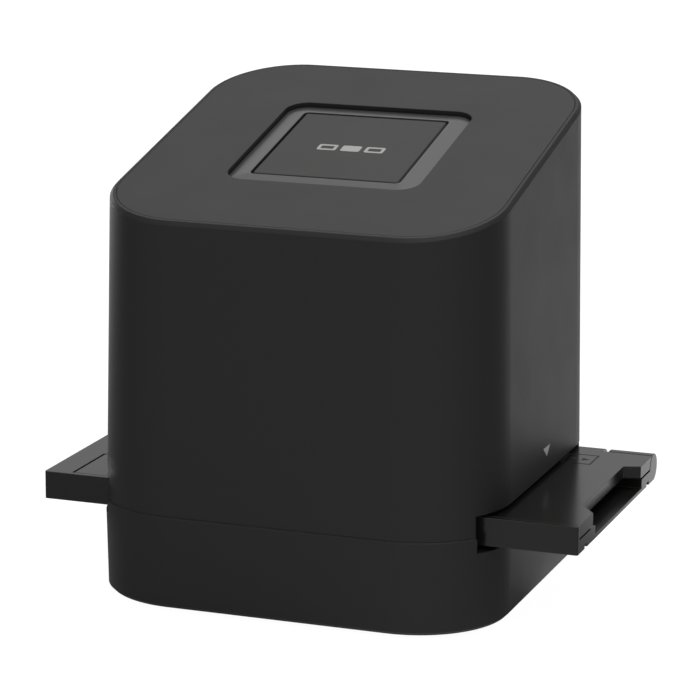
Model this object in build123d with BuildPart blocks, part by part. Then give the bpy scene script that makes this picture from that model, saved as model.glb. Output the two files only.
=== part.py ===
"""Desktop film negative scanner: a drafted cube housing with a slanting top, a scan button and a film tray.

Millimetres. The origin is the centre of the body's footprint on the table, +X to the right, +Y to the back,
+Z up. The backlight lies in the base, the camera looks down at it from the casing, and the film tray passes
between them through a slot in each side wall.
"""

import os
from math import atan, cos, degrees, radians, sin, tan

from build123d import *

os.makedirs("parts", exist_ok=True)

# Body outline
BODY_W = 87.0  # casing width at the seam
BODY_D = 88.0  # casing depth at the seam
CORNER_R = 19.8  # plan radius of the upright corners
TOP_Z = 91.5  # height of the slanting top over the body's centre
TOP_SLOPE = 13.57  # degrees, down towards the front
SEAM_Z = 20.45  # where the casing stands on the base
CASING_DRAFT = 1.05  # degrees, the casing narrows upwards
BASE_DRAFT = 1.33  # degrees, the base narrows downwards
BASE_PROUD = 0.27  # the base stands out beyond the casing, per side
WALL = 2.4
FLOOR_T = 2.2
RIM_W = 1.3  # rim of the casing round the top panel
RIM_EDGE = 0.7
BASE_EDGE = 0.7
SEAM_EDGE = 0.3
EDGE_ANGLE = 45.0
FOOT_H = 1.0  # rubber feet below the base
FOOT_R = 4.5
FOOT_SEAT = 0.8  # depth of each foot's recess
FOOT_INSET_X = 14.5  # from the body's side to a foot's middle
FOOT_INSET_Y = 15.0

# Hidden posts, screws and their holes have this many flats, and so many would go round inside corners
SIDES = 8
CORNER_SIDES = 12
ROUND_SIDES = 24  # the same for wider hidden bores, discs and feet

# Clearances
FIT = 0.1  # parts laid into each other
PIN_FIT = 0.05  # screws and pins in their holes, radial
SLIDE_GAP = 0.3  # the tray to its guides
PART_GAP = 0.5  # between the two halves of the tray
BUTTON_GAP = 0.35  # round the scan button

# Lip that centres the casing on the base
LIP_T = 1.0
LIP_H = 1.6
LIP_ROOT = 3.0
LIP_GAP = 0.15

# Screws that hold the casing to the base
POST_R = 3.4
FRONT_POST_SIDE = 23.5  # from the casing's side to a front post's middle
FRONT_POST_FACE = 5.4  # from its front
BACK_POST_SIDE = 9.9
BACK_POST_FACE = 8.9
CASING_POST_H = 14.0
SCREW_R = 1.25
SCREW_HEAD_R = 2.4
SCREW_HEAD_H = 1.8
CASE_SCREW_SEAT = 7.0  # depth of the screw head's shoulder above the underside
SMALL_SCREW_R = 0.9
SMALL_HEAD_R = 1.7
SMALL_HEAD_H = 1.2

# Top panel, bezel and scan button, measured across the slanting top
PANEL_T = 2.4
RECESS_W = 41.8
RECESS_L = 42.3
RECESS_R = 4.5
RECESS_SHIFT = 0.25  # the recess lies this far up the slope
RECESS_DEEP = 2.3
TUB_WALL = 1.6
TUB_FLOOR = 1.8
BEZEL_EDGE = 1.0  # depth of the bezel's outer edge below the panel
BEZEL_CREST = 0.4  # depth of its inner edge
BEZEL_GAP = 0.2  # to the wall of the recess
BEZEL_RUN = 3.8  # how far its slope runs in
BUTTON_W = 32.0
BUTTON_L = 33.2
BUTTON_R = 0.8
BUTTON_DEEP = 0.45
BUTTON_SKIN = 1.6
BUTTON_EDGE = 0.4
BUTTON_TRAVEL = 1.0
FLANGE_W = 0.9  # catch flange round the button's skirt
FLANGE_T = 1.0
FLANGE_GAP = 0.25
STEM_R = 3.0
STEM_END = 7.0  # depth of the stem that presses the switch
PLUNGER_R = 1.75
SWITCH_TOP = 8.5
SWITCH_SIDE = 7.0
BOARD_T = 1.6
BUTTON_BOARD_DEEP = 12.0
BUTTON_BOARD_W = 44.0
BUTTON_BOARD_L = 26.0
BUTTON_BOSS_IN_X = 2.0  # from the board's edges
BUTTON_BOSS_IN_V = 4.0
BUTTON_BOSS_R = 1.9

# Film tray
TRAY_OUT_LEFT = 12.2  # stands out of the casing on the left
TRAY_OUT_RIGHT = 16.5
TRAY_FRONT = 11.0  # from the casing's front to the tray's front edge
TRAY_BELOW = 2.21  # from the seam down to the tray's underside
TRAY_T = 5.85
PARTING = 2.76  # height of the lower half's top above its underside
HINGE_FROM_BACK = 17.2
FRONT_WALL = 1.1
FRONT_GAP = 0.15  # between the front wall and the lid
END_WALL = 5.8
LAND_L = 7.0  # tongue of the left end that fills the lid's notch
LAND_W = 28.1
FILM_W = 37.0
FILM_DEEP = 0.6
RAMP_L = 14.0  # scooped lead-in at the right end
RAMP_DEEP = 2.0
GATE_W = 36.4
GATE_L = 24.4
GATE_BEVEL = 0.8
GROOVE_W = 1.8
GROOVE_DEEP = 0.9
GROOVE_FROM_FRONT = 6.1
GROOVE_FROM_HINGE = 4.8
LID_NOTCH = 3.5
LID_NOTCH_FRONT = 15.45  # from the film's middle to the notch's ends
LID_NOTCH_BACK = 16.25
LID_FUNNEL_FRONT = 20.4
LID_FUNNEL_BACK = 17.45
KNUCKLE_END = 9.6
KNUCKLE_MID = 10.0
KNUCKLE_GAP = 1.3
KNUCKLE_SHOULDER = 1.4  # the lower half's knuckles are square so far forward of the pin
HINGE_PIN_R = 0.8
TRAY_EDGE = 0.4
MARK_W = 6.6  # engraved frame on the lid, beside the casing
MARK_L = 7.6
MARK_FROM_END = 13.7
MARK_FROM_HINGE = 9.7
MARK_LINE = 0.35
MARK_DEEP = 0.3
DETENT_L = 4.0
DETENT_DEEP = 0.5

# Slot for the tray in both side walls
SLOT_FRONT = 2.7
SLOT_BACK = 1.8
SLOT_BELOW = 1.04
SLOT_ABOVE = 0.81
SLOT_CUT = 7.5  # the cut reaches so far in from the casing's side

# Guides above and below the tray
GUIDE_T = 2.0
GUIDE_INSET = 4.5  # from the casing's outside
LOWER_GUIDE_MARGIN = 1.6  # beyond the tray, front and back
LOWER_GUIDE_R = 10.0
UPPER_GUIDE_R = 14.0
GUIDE_WINDOW_W = 38.0
GUIDE_WINDOW_L = 26.0
GUIDE_RIB_W = 1.2
GUIDE_POST_IN = 9.0  # inwards of the front case posts
GUIDE_POST_BACK = 8.5
GUIDE_POST_R = 2.4
LOWER_BOSS_SIDE = 9.5
LOWER_BOSS_Y = 12.0
LOWER_BOSS_R = 2.4
SPRING_T = 0.3
SPRING_W = 5.0
SPRING_L = 22.0
SPRING_FROM_SIDE = 16.5
SPRING_Y = -10.0
SPRING_BUMP = 0.9

# Backlight
LED_BOARD_RAISE = 1.5
LED_BOARD_EDGE = 2.0  # beyond the light box, front and back
LED_BOARD_EAR = 6.0  # beyond it at the sides, for the screws
LED_BOSS_OUT = 3.3
LIGHT_BOX_W = 44.0
LIGHT_BOX_L = 34.0
LIGHT_BOX_T = 1.5
DIFFUSER_T = 1.2
DIFFUSER_LEDGE = 0.7
LED_PITCH_X = 10.0
LED_PITCH_Y = 10.0
LED_COLUMNS = 4
LED_ROWS = 3
LED_W = 3.5
LED_L = 2.8
LED_H = 0.9

# Camera above the film
TUNNEL_W = 42.0
TUNNEL_L = 32.0
TUNNEL_FROM_TOP = 37.45  # of the height over the seam, what the tunnel leaves for the camera and the button
TUNNEL_DRAW = 8.0  # its walls lean in by this much
TUNNEL_T = 1.6
TUNNEL_EAR = 11.0
TUNNEL_FOOT_L = 14.0
TUNNEL_FOOT_T = 1.6
TUNNEL_SCREW_OUT = 7.0
HEAD_T = 2.5
HEAD_W = 34.0
HEAD_L = 24.0
HEAD_SCREW_IN = 3.0
MOUNT_H = 9.0
MOUNT_SHELF_Z = 5.0
MOUNT_SHELF_T = 1.0
MOUNT_CAVITY = 13.0
BARREL_R = 5.0
BARREL_BORE = 3.6
BARREL_H = 8.6
BARREL_DROP = 4.0
ELEMENT_R = 3.5
ELEMENT_T = 2.2
ELEMENT_BULGE = 0.8
ELEMENT_FLAT = 1.6  # radius of each element's middle face
FILTER_SIDE = 10.0
FILTER_T = 0.6
SENSOR_SIDE = 9.0
SENSOR_T = 1.2
SENSOR_BOARD_SIDE = 34.0

# Main board and its parts
MAIN_BOARD_SIDE = 17.5  # from the casing's side
MAIN_BOARD_BACK = 3.5  # from its back
MAIN_BOARD_FRONT = 20.65  # from the optical axis
MAIN_BOARD_RAISE = 5.6
MAIN_BOSS_IN_X = 3.0
MAIN_BOSS_INSET = 2.6
MAIN_BOSS_R = 2.0
CHIP_W = 9.0
CHIP_H = 1.2
CHIP_X = 3.0
MEMORY_X = -9.5
MEMORY_W = 6.0
CHIP_TO_USB = 0.8
USB_W = 7.7
USB_H = 3.95
USB_L = 9.2
USB_SHEET = 0.35
USB_MOUTH = 0.4  # the mouth lies this far inside the back face
USB_WINDOW = 0.25
TONGUE_W = 3.7
TONGUE_H = 1.1
RIBBON_T = 0.3
RIBBON_BEND = 2.0
SENSOR_RIBBON_IN = 9.0  # from the main board's edge to the ribbon's middle
SENSOR_RIBBON_W = 8.0
BUTTON_RIBBON_X = 13.0
BUTTON_RIBBON_W = 6.0
SOCKET_H = 2.0
SOCKET_L = 4.0

# Derived places
tilt = radians(TOP_SLOPE)
top_plane = Plane(origin=(0, 0, TOP_Z), x_dir=(1, 0, 0), z_dir=(0, -sin(tilt), cos(tilt)))
seam_up = Plane.XY.offset(SEAM_Z)
seam_down = Plane(origin=(0, 0, SEAM_Z), x_dir=(1, 0, 0), z_dir=(0, 0, -1))
rise = TOP_Z - SEAM_Z + BODY_D / 2 * sin(tilt) + RECESS_W / 2
base_w = BODY_W + 2 * BASE_PROUD
base_d = BODY_D + 2 * BASE_PROUD
base_r = CORNER_R + BASE_PROUD
base_h = SEAM_Z - FOOT_H
base_lean = (base_h - SEAM_EDGE - BASE_EDGE) * tan(radians(BASE_DRAFT))
floor_z = FOOT_H + FLOOR_T
tray_x0 = -BODY_W / 2 - TRAY_OUT_LEFT
tray_x1 = BODY_W / 2 + TRAY_OUT_RIGHT
tray_mid = (tray_x0 + tray_x1) / 2
tray_l = tray_x1 - tray_x0
tray_z0 = SEAM_Z - TRAY_BELOW
tray_top = tray_z0 + TRAY_T
parting_z = tray_z0 + PARTING
lid_z = parting_z + PART_GAP
knuckle_r = TRAY_T / 2
barrel_clear = knuckle_r + PART_GAP
hinge_y = BODY_D / 2 - HINGE_FROM_BACK
hinge_z = tray_z0 + knuckle_r
tray_y0 = TRAY_FRONT - BODY_D / 2
tray_y1 = hinge_y + knuckle_r
axis_y = (tray_y0 + tray_y1) / 2
grooves = (tray_y0 + GROOVE_FROM_FRONT, hinge_y - GROOVE_FROM_HINGE)
lower_guide_z = tray_z0 - SLIDE_GAP - GUIDE_T
upper_guide_z = tray_top + SLIDE_GAP
guide_w = BODY_W - 2 * GUIDE_INSET
spring_x = SPRING_FROM_SIDE - BODY_W / 2
slot_y0 = tray_y0 - SLOT_FRONT
slot_y1 = tray_y1 + SLOT_BACK
slot_z0 = tray_z0 - SLOT_BELOW
slot_z1 = tray_top + SLOT_ABOVE
slot_x = BODY_W - SLOT_CUT
front_post_y = FRONT_POST_FACE - BODY_D / 2
case_posts = [
    (side * (BODY_W / 2 - from_side), y)
    for from_side, y in ((FRONT_POST_SIDE, front_post_y), (BACK_POST_SIDE, BODY_D / 2 - BACK_POST_FACE))
    for side in (-1, 1)
]
guide_posts = [
    (side * (BODY_W / 2 - FRONT_POST_SIDE - GUIDE_POST_IN), y)
    for y in (front_post_y, BODY_D / 2 - GUIDE_POST_BACK)
    for side in (-1, 1)
]
lower_bosses = [
    (side * (BODY_W / 2 - LOWER_BOSS_SIDE), y)
    for y in (-LOWER_BOSS_Y, LOWER_BOSS_Y)
    for side in (-1, 1)
]
led_board_w = LIGHT_BOX_W + 2 * LED_BOARD_EAR
led_board_l = LIGHT_BOX_L + 2 * LED_BOARD_EDGE
led_bosses = [(side * (LIGHT_BOX_W / 2 + LED_BOSS_OUT), axis_y) for side in (-1, 1)]
feet = [
    (x * (BODY_W / 2 - FOOT_INSET_X), y * (BODY_D / 2 - FOOT_INSET_Y))
    for x in (-1, 1)
    for y in (-1, 1)
]
head_shoulder = FOOT_H + CASE_SCREW_SEAT
led_board_z = floor_z + LED_BOARD_RAISE
led_top = led_board_z + BOARD_T
tunnel_z = upper_guide_z + GUIDE_T
tunnel_h = TOP_Z - SEAM_Z - TUNNEL_FROM_TOP
tunnel_lean = degrees(atan(TUNNEL_DRAW / tunnel_h))
tunnel_top = tunnel_z + tunnel_h
tunnel_screw_places = [(side * (TUNNEL_W / 2 + TUNNEL_SCREW_OUT), axis_y) for side in (-1, 1)]
head_screw_places = [(side * (HEAD_W / 2 - HEAD_SCREW_IN), axis_y) for side in (-1, 1)]
barrel_z = tunnel_top - BARREL_DROP
sensor_board_z = tunnel_top + MOUNT_H
main_board_z = tunnel_z + MAIN_BOARD_RAISE
main_board_top = main_board_z + BOARD_T
main_board_y0 = axis_y + MAIN_BOARD_FRONT
main_board_y1 = BODY_D / 2 - MAIN_BOARD_BACK
main_board_w = BODY_W - 2 * MAIN_BOARD_SIDE
main_board_l = main_board_y1 - main_board_y0
main_board_mid = (main_board_y0 + main_board_y1) / 2
main_bosses = [
    (side * (main_board_w / 2 - MAIN_BOSS_IN_X), y)
    for y in (main_board_y0 + MAIN_BOSS_INSET, main_board_y1 - MAIN_BOSS_INSET)
    for side in (-1, 1)
]
usb_back = BODY_D / 2 - USB_MOUTH
usb_z = main_board_top + USB_H / 2
chip_y = usb_back - USB_L - CHIP_TO_USB - CHIP_W / 2
sensor_ribbon_x = SENSOR_RIBBON_IN - main_board_w / 2
tub_deep = RECESS_DEEP + TUB_FLOOR
flange_top = tub_deep + FLANGE_GAP
flange_end = flange_top + FLANGE_T
hole_w = BUTTON_W + 2 * BUTTON_GAP
hole_l = BUTTON_L + 2 * BUTTON_GAP
hole_r = BUTTON_R + BUTTON_GAP
bezel_w = RECESS_W - 2 * BEZEL_GAP
bezel_l = RECESS_L - 2 * BEZEL_GAP
bezel_r = RECESS_R - BEZEL_GAP
bezel_lean = degrees(atan(BEZEL_RUN / (BEZEL_EDGE - BEZEL_CREST)))
button_bosses = [
    (x * (BUTTON_BOARD_W / 2 - BUTTON_BOSS_IN_X), v * (BUTTON_BOARD_L / 2 - BUTTON_BOSS_IN_V))
    for x in (-1, 1)
    for v in (-1, 1)
]


def inside(width, depth, radius, plane, height, draft):
    """A block inside the walls. It narrows by draft degrees, and its corners are a few flats each."""
    with BuildPart() as block:
        with BuildSketch(plane):
            with GridLocations(width - 2 * radius, depth - 2 * radius, 2, 2):
                RegularPolygon(radius, CORNER_SIDES)
            make_hull()
        extrude(amount=height, taper=draft)
    return block.part


def top_slab(inset, thickness, above):
    """The casing's own section drawn in by inset, between two planes along the slanting top."""
    with BuildPart() as slab:
        with BuildSketch(seam_up):
            RectangleRounded(BODY_W - 2 * inset, BODY_D - 2 * inset, CORNER_R - inset)
        extrude(amount=rise, taper=CASING_DRAFT)
        split(bisect_by=top_plane.offset(above), keep=Keep.BOTTOM)
        split(bisect_by=top_plane.offset(-thickness), keep=Keep.TOP)
    return slab.part


def screws(places, head_z, shank_z, shank_r, head_r, head_h, up):
    """Pan head screws at places. The head's shoulder is at head_z and the shank ends at shank_z."""
    with BuildPart() as group:
        with BuildSketch(Plane.XY.offset(min(head_z, shank_z))):
            with Locations(*places):
                RegularPolygon(shank_r, SIDES)
        extrude(amount=abs(shank_z - head_z))
        with BuildSketch(Plane.XY.offset(head_z - head_h if up else head_z)):
            with Locations(*places):
                RegularPolygon(head_r, SIDES)
        extrude(amount=head_h)
    return group.part


def keep(part, name):
    """Labels a finished piece and writes it."""
    part.label = name
    export_step(part, f"parts/{name}.step")


# ---------------------------------------------------------------- housing

# Casing: a drafted cube cut off by the slanting top, open below and rebated above for the top panel.
casing_hollow = inside(
    BODY_W - 2 * WALL, BODY_D - 2 * WALL, CORNER_R - WALL, seam_up, rise, CASING_DRAFT
)
panel_rebate = top_slab(RIM_W, PANEL_T, PANEL_T)
with BuildPart() as casing:
    with BuildSketch(seam_up):
        RectangleRounded(BODY_W, BODY_D, CORNER_R)
    extrude(amount=rise, taper=CASING_DRAFT)
    split(bisect_by=top_plane, keep=Keep.BOTTOM)
    chamfer(casing.faces().sort_by(Axis.Z)[-1].edges(), RIM_EDGE)
    add(casing_hollow, mode=Mode.SUBTRACT)
    add(panel_rebate, mode=Mode.SUBTRACT)
    with BuildSketch(seam_up):
        with Locations(*case_posts):
            RegularPolygon(POST_R, SIDES)
    extrude(amount=CASING_POST_H)
    with BuildSketch(seam_up):
        with Locations(*case_posts):
            RegularPolygon(SCREW_R + PIN_FIT, SIDES)
    extrude(amount=CASING_POST_H - WALL / 2, mode=Mode.SUBTRACT)
    with BuildSketch(seam_up):
        for side in (-1, 1):
            with Locations((side * slot_x, (slot_y0 + slot_y1) / 2)):
                Rectangle(BODY_W, slot_y1 - slot_y0)
    extrude(amount=slot_z1 - SEAM_Z, mode=Mode.SUBTRACT)
    with Locations((0, BODY_D / 2, usb_z)):
        Box(USB_W + 2 * USB_WINDOW, 4 * WALL, USB_H + 2 * USB_WINDOW, mode=Mode.SUBTRACT)
keep(casing.part, "casing")

# Base shell: a shallow drafted dish. Its posts carry everything above it, and its lip centres the casing.
base_hollow = inside(
    base_w - 2 * WALL, base_d - 2 * WALL, base_r - WALL, seam_down, base_h - FLOOR_T, BASE_DRAFT
)
lip_inset = WALL + LIP_GAP
lip = inside(
    BODY_W - 2 * lip_inset, BODY_D - 2 * lip_inset, CORNER_R - lip_inset, seam_up, LIP_H, 0
)
lip_root = inside(base_w - WALL, base_d - WALL, base_r - WALL / 2, seam_down, LIP_ROOT, 0)
lip_bore = inside(
    BODY_W - 2 * (lip_inset + LIP_T),
    BODY_D - 2 * (lip_inset + LIP_T),
    CORNER_R - lip_inset - LIP_T,
    Plane.XY.offset(SEAM_Z - LIP_ROOT),
    LIP_ROOT + LIP_H,
    0,
)
with BuildPart() as base_shell:
    with BuildSketch(seam_down):
        RectangleRounded(base_w - 2 * SEAM_EDGE, base_d - 2 * SEAM_EDGE, base_r - SEAM_EDGE)
    extrude(amount=SEAM_EDGE, taper=-EDGE_ANGLE)
    with BuildSketch(seam_down.offset(SEAM_EDGE)):
        RectangleRounded(base_w, base_d, base_r)
    extrude(amount=base_h - SEAM_EDGE - BASE_EDGE, taper=BASE_DRAFT)
    with BuildSketch(seam_down.offset(base_h - BASE_EDGE)):
        RectangleRounded(base_w - 2 * base_lean, base_d - 2 * base_lean, base_r - base_lean)
    extrude(amount=BASE_EDGE, taper=EDGE_ANGLE)
    add(base_hollow, mode=Mode.SUBTRACT)
    add(lip_root)
    add(lip)
    add(lip_bore, mode=Mode.SUBTRACT)
    with BuildSketch(seam_up):
        with Locations(*case_posts):
            RegularPolygon(POST_R + SLIDE_GAP, SIDES)
    extrude(amount=LIP_H, mode=Mode.SUBTRACT)
    with BuildSketch(Plane.XY.offset(floor_z)):
        with Locations(*case_posts):
            RegularPolygon(POST_R, SIDES)
    extrude(amount=SEAM_Z - floor_z)
    with BuildSketch(Plane.XY.offset(floor_z)):
        with Locations(*guide_posts):
            RegularPolygon(GUIDE_POST_R, SIDES)
    extrude(amount=upper_guide_z - floor_z)
    with BuildSketch(Plane.XY.offset(floor_z)):
        with Locations(*lower_bosses):
            RegularPolygon(LOWER_BOSS_R, SIDES)
    extrude(amount=lower_guide_z - floor_z)
    with BuildSketch(Plane.XY.offset(floor_z)):
        with Locations(*led_bosses):
            RegularPolygon(LOWER_BOSS_R, SIDES)
    extrude(amount=LED_BOARD_RAISE)
    with BuildSketch(Plane.XY.offset(FOOT_H)):
        with Locations(*case_posts):
            RegularPolygon(SCREW_HEAD_R + FIT, ROUND_SIDES)
    extrude(amount=CASE_SCREW_SEAT, mode=Mode.SUBTRACT)
    with BuildSketch(Plane.XY.offset(head_shoulder)):
        with Locations(*case_posts):
            RegularPolygon(SCREW_R + PIN_FIT, SIDES)
    extrude(amount=SEAM_Z - head_shoulder, mode=Mode.SUBTRACT)
    with BuildSketch(Plane.XY.offset(floor_z)):
        with Locations(*guide_posts, *lower_bosses):
            RegularPolygon(SMALL_SCREW_R + PIN_FIT, SIDES)
    extrude(amount=upper_guide_z - floor_z, mode=Mode.SUBTRACT)
    with BuildSketch(Plane.XY.offset(FOOT_H + FLOOR_T / 2)):
        with Locations(*led_bosses):
            RegularPolygon(SMALL_SCREW_R + PIN_FIT, SIDES)
    extrude(amount=LED_BOARD_RAISE + FLOOR_T, mode=Mode.SUBTRACT)
    with BuildSketch(Plane.XY.offset(FOOT_H)):
        with Locations(*feet):
            RegularPolygon(FOOT_R + FIT, ROUND_SIDES)
    extrude(amount=FOOT_SEAT, mode=Mode.SUBTRACT)
    with BuildSketch(Plane.XY.offset(slot_z0)):
        for side in (-1, 1):
            with Locations((side * slot_x, (slot_y0 + slot_y1) / 2)):
                Rectangle(BODY_W, slot_y1 - slot_y0)
    extrude(amount=slot_z1 - slot_z0, mode=Mode.SUBTRACT)
keep(base_shell.part, "base_shell")

with BuildPart() as rubber_feet:
    with BuildSketch():
        with Locations(*feet):
            RegularPolygon(FOOT_R, ROUND_SIDES)
    extrude(amount=FOOT_H + FOOT_SEAT)
keep(rubber_feet.part, "rubber_feet")

keep(
    screws(
        case_posts,
        head_shoulder,
        SEAM_Z + CASING_POST_H - 2 * WALL,
        SCREW_R,
        SCREW_HEAD_R,
        SCREW_HEAD_H,
        up=True,
    ),
    "case_screws",
)

# Top panel: a plate set into the casing's rim, with a tub that carries the bezel and the button's board.
panel_plate = top_slab(RIM_W + FIT, PANEL_T, 0)
with BuildPart() as top_panel:
    add(panel_plate)
    with BuildSketch(top_plane.offset(-tub_deep)):
        with Locations((0, RECESS_SHIFT)):
            Rectangle(RECESS_W + 2 * TUB_WALL, RECESS_L + 2 * TUB_WALL)
    extrude(amount=tub_deep - PANEL_T)
    with BuildSketch(top_plane.offset(-BUTTON_BOARD_DEEP)):
        with Locations(*button_bosses):
            RegularPolygon(BUTTON_BOSS_R, SIDES)
    extrude(amount=BUTTON_BOARD_DEEP - tub_deep)
    with BuildSketch(top_plane.offset(-RECESS_DEEP)):
        with Locations((0, RECESS_SHIFT)):
            RectangleRounded(RECESS_W, RECESS_L, RECESS_R)
    extrude(amount=RECESS_DEEP, mode=Mode.SUBTRACT)
    with BuildSketch(top_plane.offset(-tub_deep)):
        RectangleRounded(hole_w, hole_l, hole_r)
    extrude(amount=tub_deep, mode=Mode.SUBTRACT)
    with BuildSketch(top_plane.offset(-BUTTON_BOARD_DEEP)):
        with Locations(*button_bosses):
            RegularPolygon(SMALL_SCREW_R + PIN_FIT, SIDES)
    extrude(amount=BUTTON_BOARD_DEEP - tub_deep, mode=Mode.SUBTRACT)
keep(top_panel.part, "top_panel")

# Bezel: a sloping frame that rises from the recess's wall to the button.
with BuildPart() as button_bezel:
    with BuildSketch(top_plane.offset(-RECESS_DEEP)):
        with Locations((0, RECESS_SHIFT)):
            RectangleRounded(bezel_w, bezel_l, bezel_r)
    extrude(amount=RECESS_DEEP - BEZEL_EDGE)
    with BuildSketch(top_plane.offset(-BEZEL_EDGE)):
        with Locations((0, RECESS_SHIFT)):
            RectangleRounded(bezel_w, bezel_l, bezel_r)
    extrude(amount=BEZEL_EDGE - BEZEL_CREST, taper=bezel_lean)
    with BuildSketch(top_plane.offset(-RECESS_DEEP)):
        RectangleRounded(hole_w, hole_l, hole_r)
    extrude(amount=RECESS_DEEP, mode=Mode.SUBTRACT)
keep(button_bezel.part, "button_bezel")

# Scan button: a hollow cap with a catch flange under the panel and a stem over the switch.
with BuildPart() as scan_button:
    with BuildSketch(top_plane.offset(-flange_end)):
        RectangleRounded(BUTTON_W, BUTTON_L, BUTTON_R)
    extrude(amount=flange_end - BUTTON_DEEP)
    chamfer(scan_button.faces().sort_by(Axis.Z)[-1].edges(), BUTTON_EDGE)
    with BuildSketch(top_plane.offset(-flange_end)):
        Rectangle(hole_w + 2 * FLANGE_W, hole_l + 2 * FLANGE_W)
    extrude(amount=FLANGE_T)
    with BuildSketch(top_plane.offset(-flange_end)):
        Rectangle(BUTTON_W - 2 * BUTTON_SKIN, BUTTON_L - 2 * BUTTON_SKIN)
    extrude(amount=flange_end - BUTTON_DEEP - BUTTON_SKIN, mode=Mode.SUBTRACT)
    with BuildSketch(top_plane.offset(-STEM_END)):
        RegularPolygon(STEM_R, ROUND_SIDES)
    extrude(amount=STEM_END - BUTTON_DEEP - BUTTON_SKIN)
keep(scan_button.part, "scan_button")

with BuildPart() as switch_plunger:
    with BuildSketch(top_plane.offset(-(SWITCH_TOP + BUTTON_TRAVEL))):
        RegularPolygon(PLUNGER_R, ROUND_SIDES)
    extrude(amount=SWITCH_TOP + BUTTON_TRAVEL - STEM_END)
keep(switch_plunger.part, "switch_plunger")

with BuildPart() as switch_body:
    with BuildSketch(top_plane.offset(-BUTTON_BOARD_DEEP)):
        Rectangle(SWITCH_SIDE, SWITCH_SIDE)
    extrude(amount=BUTTON_BOARD_DEEP - SWITCH_TOP)
    with BuildSketch(top_plane.offset(-(SWITCH_TOP + 2 * BUTTON_TRAVEL + SLIDE_GAP))):
        RegularPolygon(PLUNGER_R + PIN_FIT, ROUND_SIDES)
    extrude(amount=2 * BUTTON_TRAVEL + SLIDE_GAP, mode=Mode.SUBTRACT)
keep(switch_body.part, "switch_body")

with BuildPart() as button_board:
    with BuildSketch(top_plane.offset(-(BUTTON_BOARD_DEEP + BOARD_T))):
        Rectangle(BUTTON_BOARD_W, BUTTON_BOARD_L)
        with Locations(*button_bosses):
            RegularPolygon(SMALL_SCREW_R + PIN_FIT, SIDES, mode=Mode.SUBTRACT)
    extrude(amount=BOARD_T)
keep(button_board.part, "button_board")

with BuildPart() as button_board_screws:
    with BuildSketch(top_plane.offset(-(BUTTON_BOARD_DEEP + BOARD_T + SMALL_HEAD_H))):
        with Locations(*button_bosses):
            RegularPolygon(SMALL_HEAD_R, SIDES)
    extrude(amount=SMALL_HEAD_H)
    with BuildSketch(top_plane.offset(-(BUTTON_BOARD_DEEP + BOARD_T))):
        with Locations(*button_bosses):
            RegularPolygon(SMALL_SCREW_R, SIDES)
    extrude(amount=BOARD_T + (BUTTON_BOARD_DEEP - tub_deep) / 2)
keep(button_board_screws.part, "button_board_screws")

# ---------------------------------------------------------------- film tray

# The hinge barrel is shared: the lower half has a knuckle at each end and in the middle, the lid the rest.
base_spans = [
    (tray_x0, tray_x0 + KNUCKLE_END),
    (-KNUCKLE_MID / 2, KNUCKLE_MID / 2),
    (tray_x1 - KNUCKLE_END, tray_x1),
]
lid_spans = [
    (left[1] + KNUCKLE_GAP, right[0] - KNUCKLE_GAP)
    for left, right in zip(base_spans[:-1], base_spans[1:])
]
base_free = [(left[1], right[0]) for left, right in zip(base_spans[:-1], base_spans[1:])]
lid_free = [
    (tray_x0, lid_spans[0][0]),
    (lid_spans[0][1], lid_spans[1][0]),
    (lid_spans[1][1], tray_x1),
]

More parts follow.
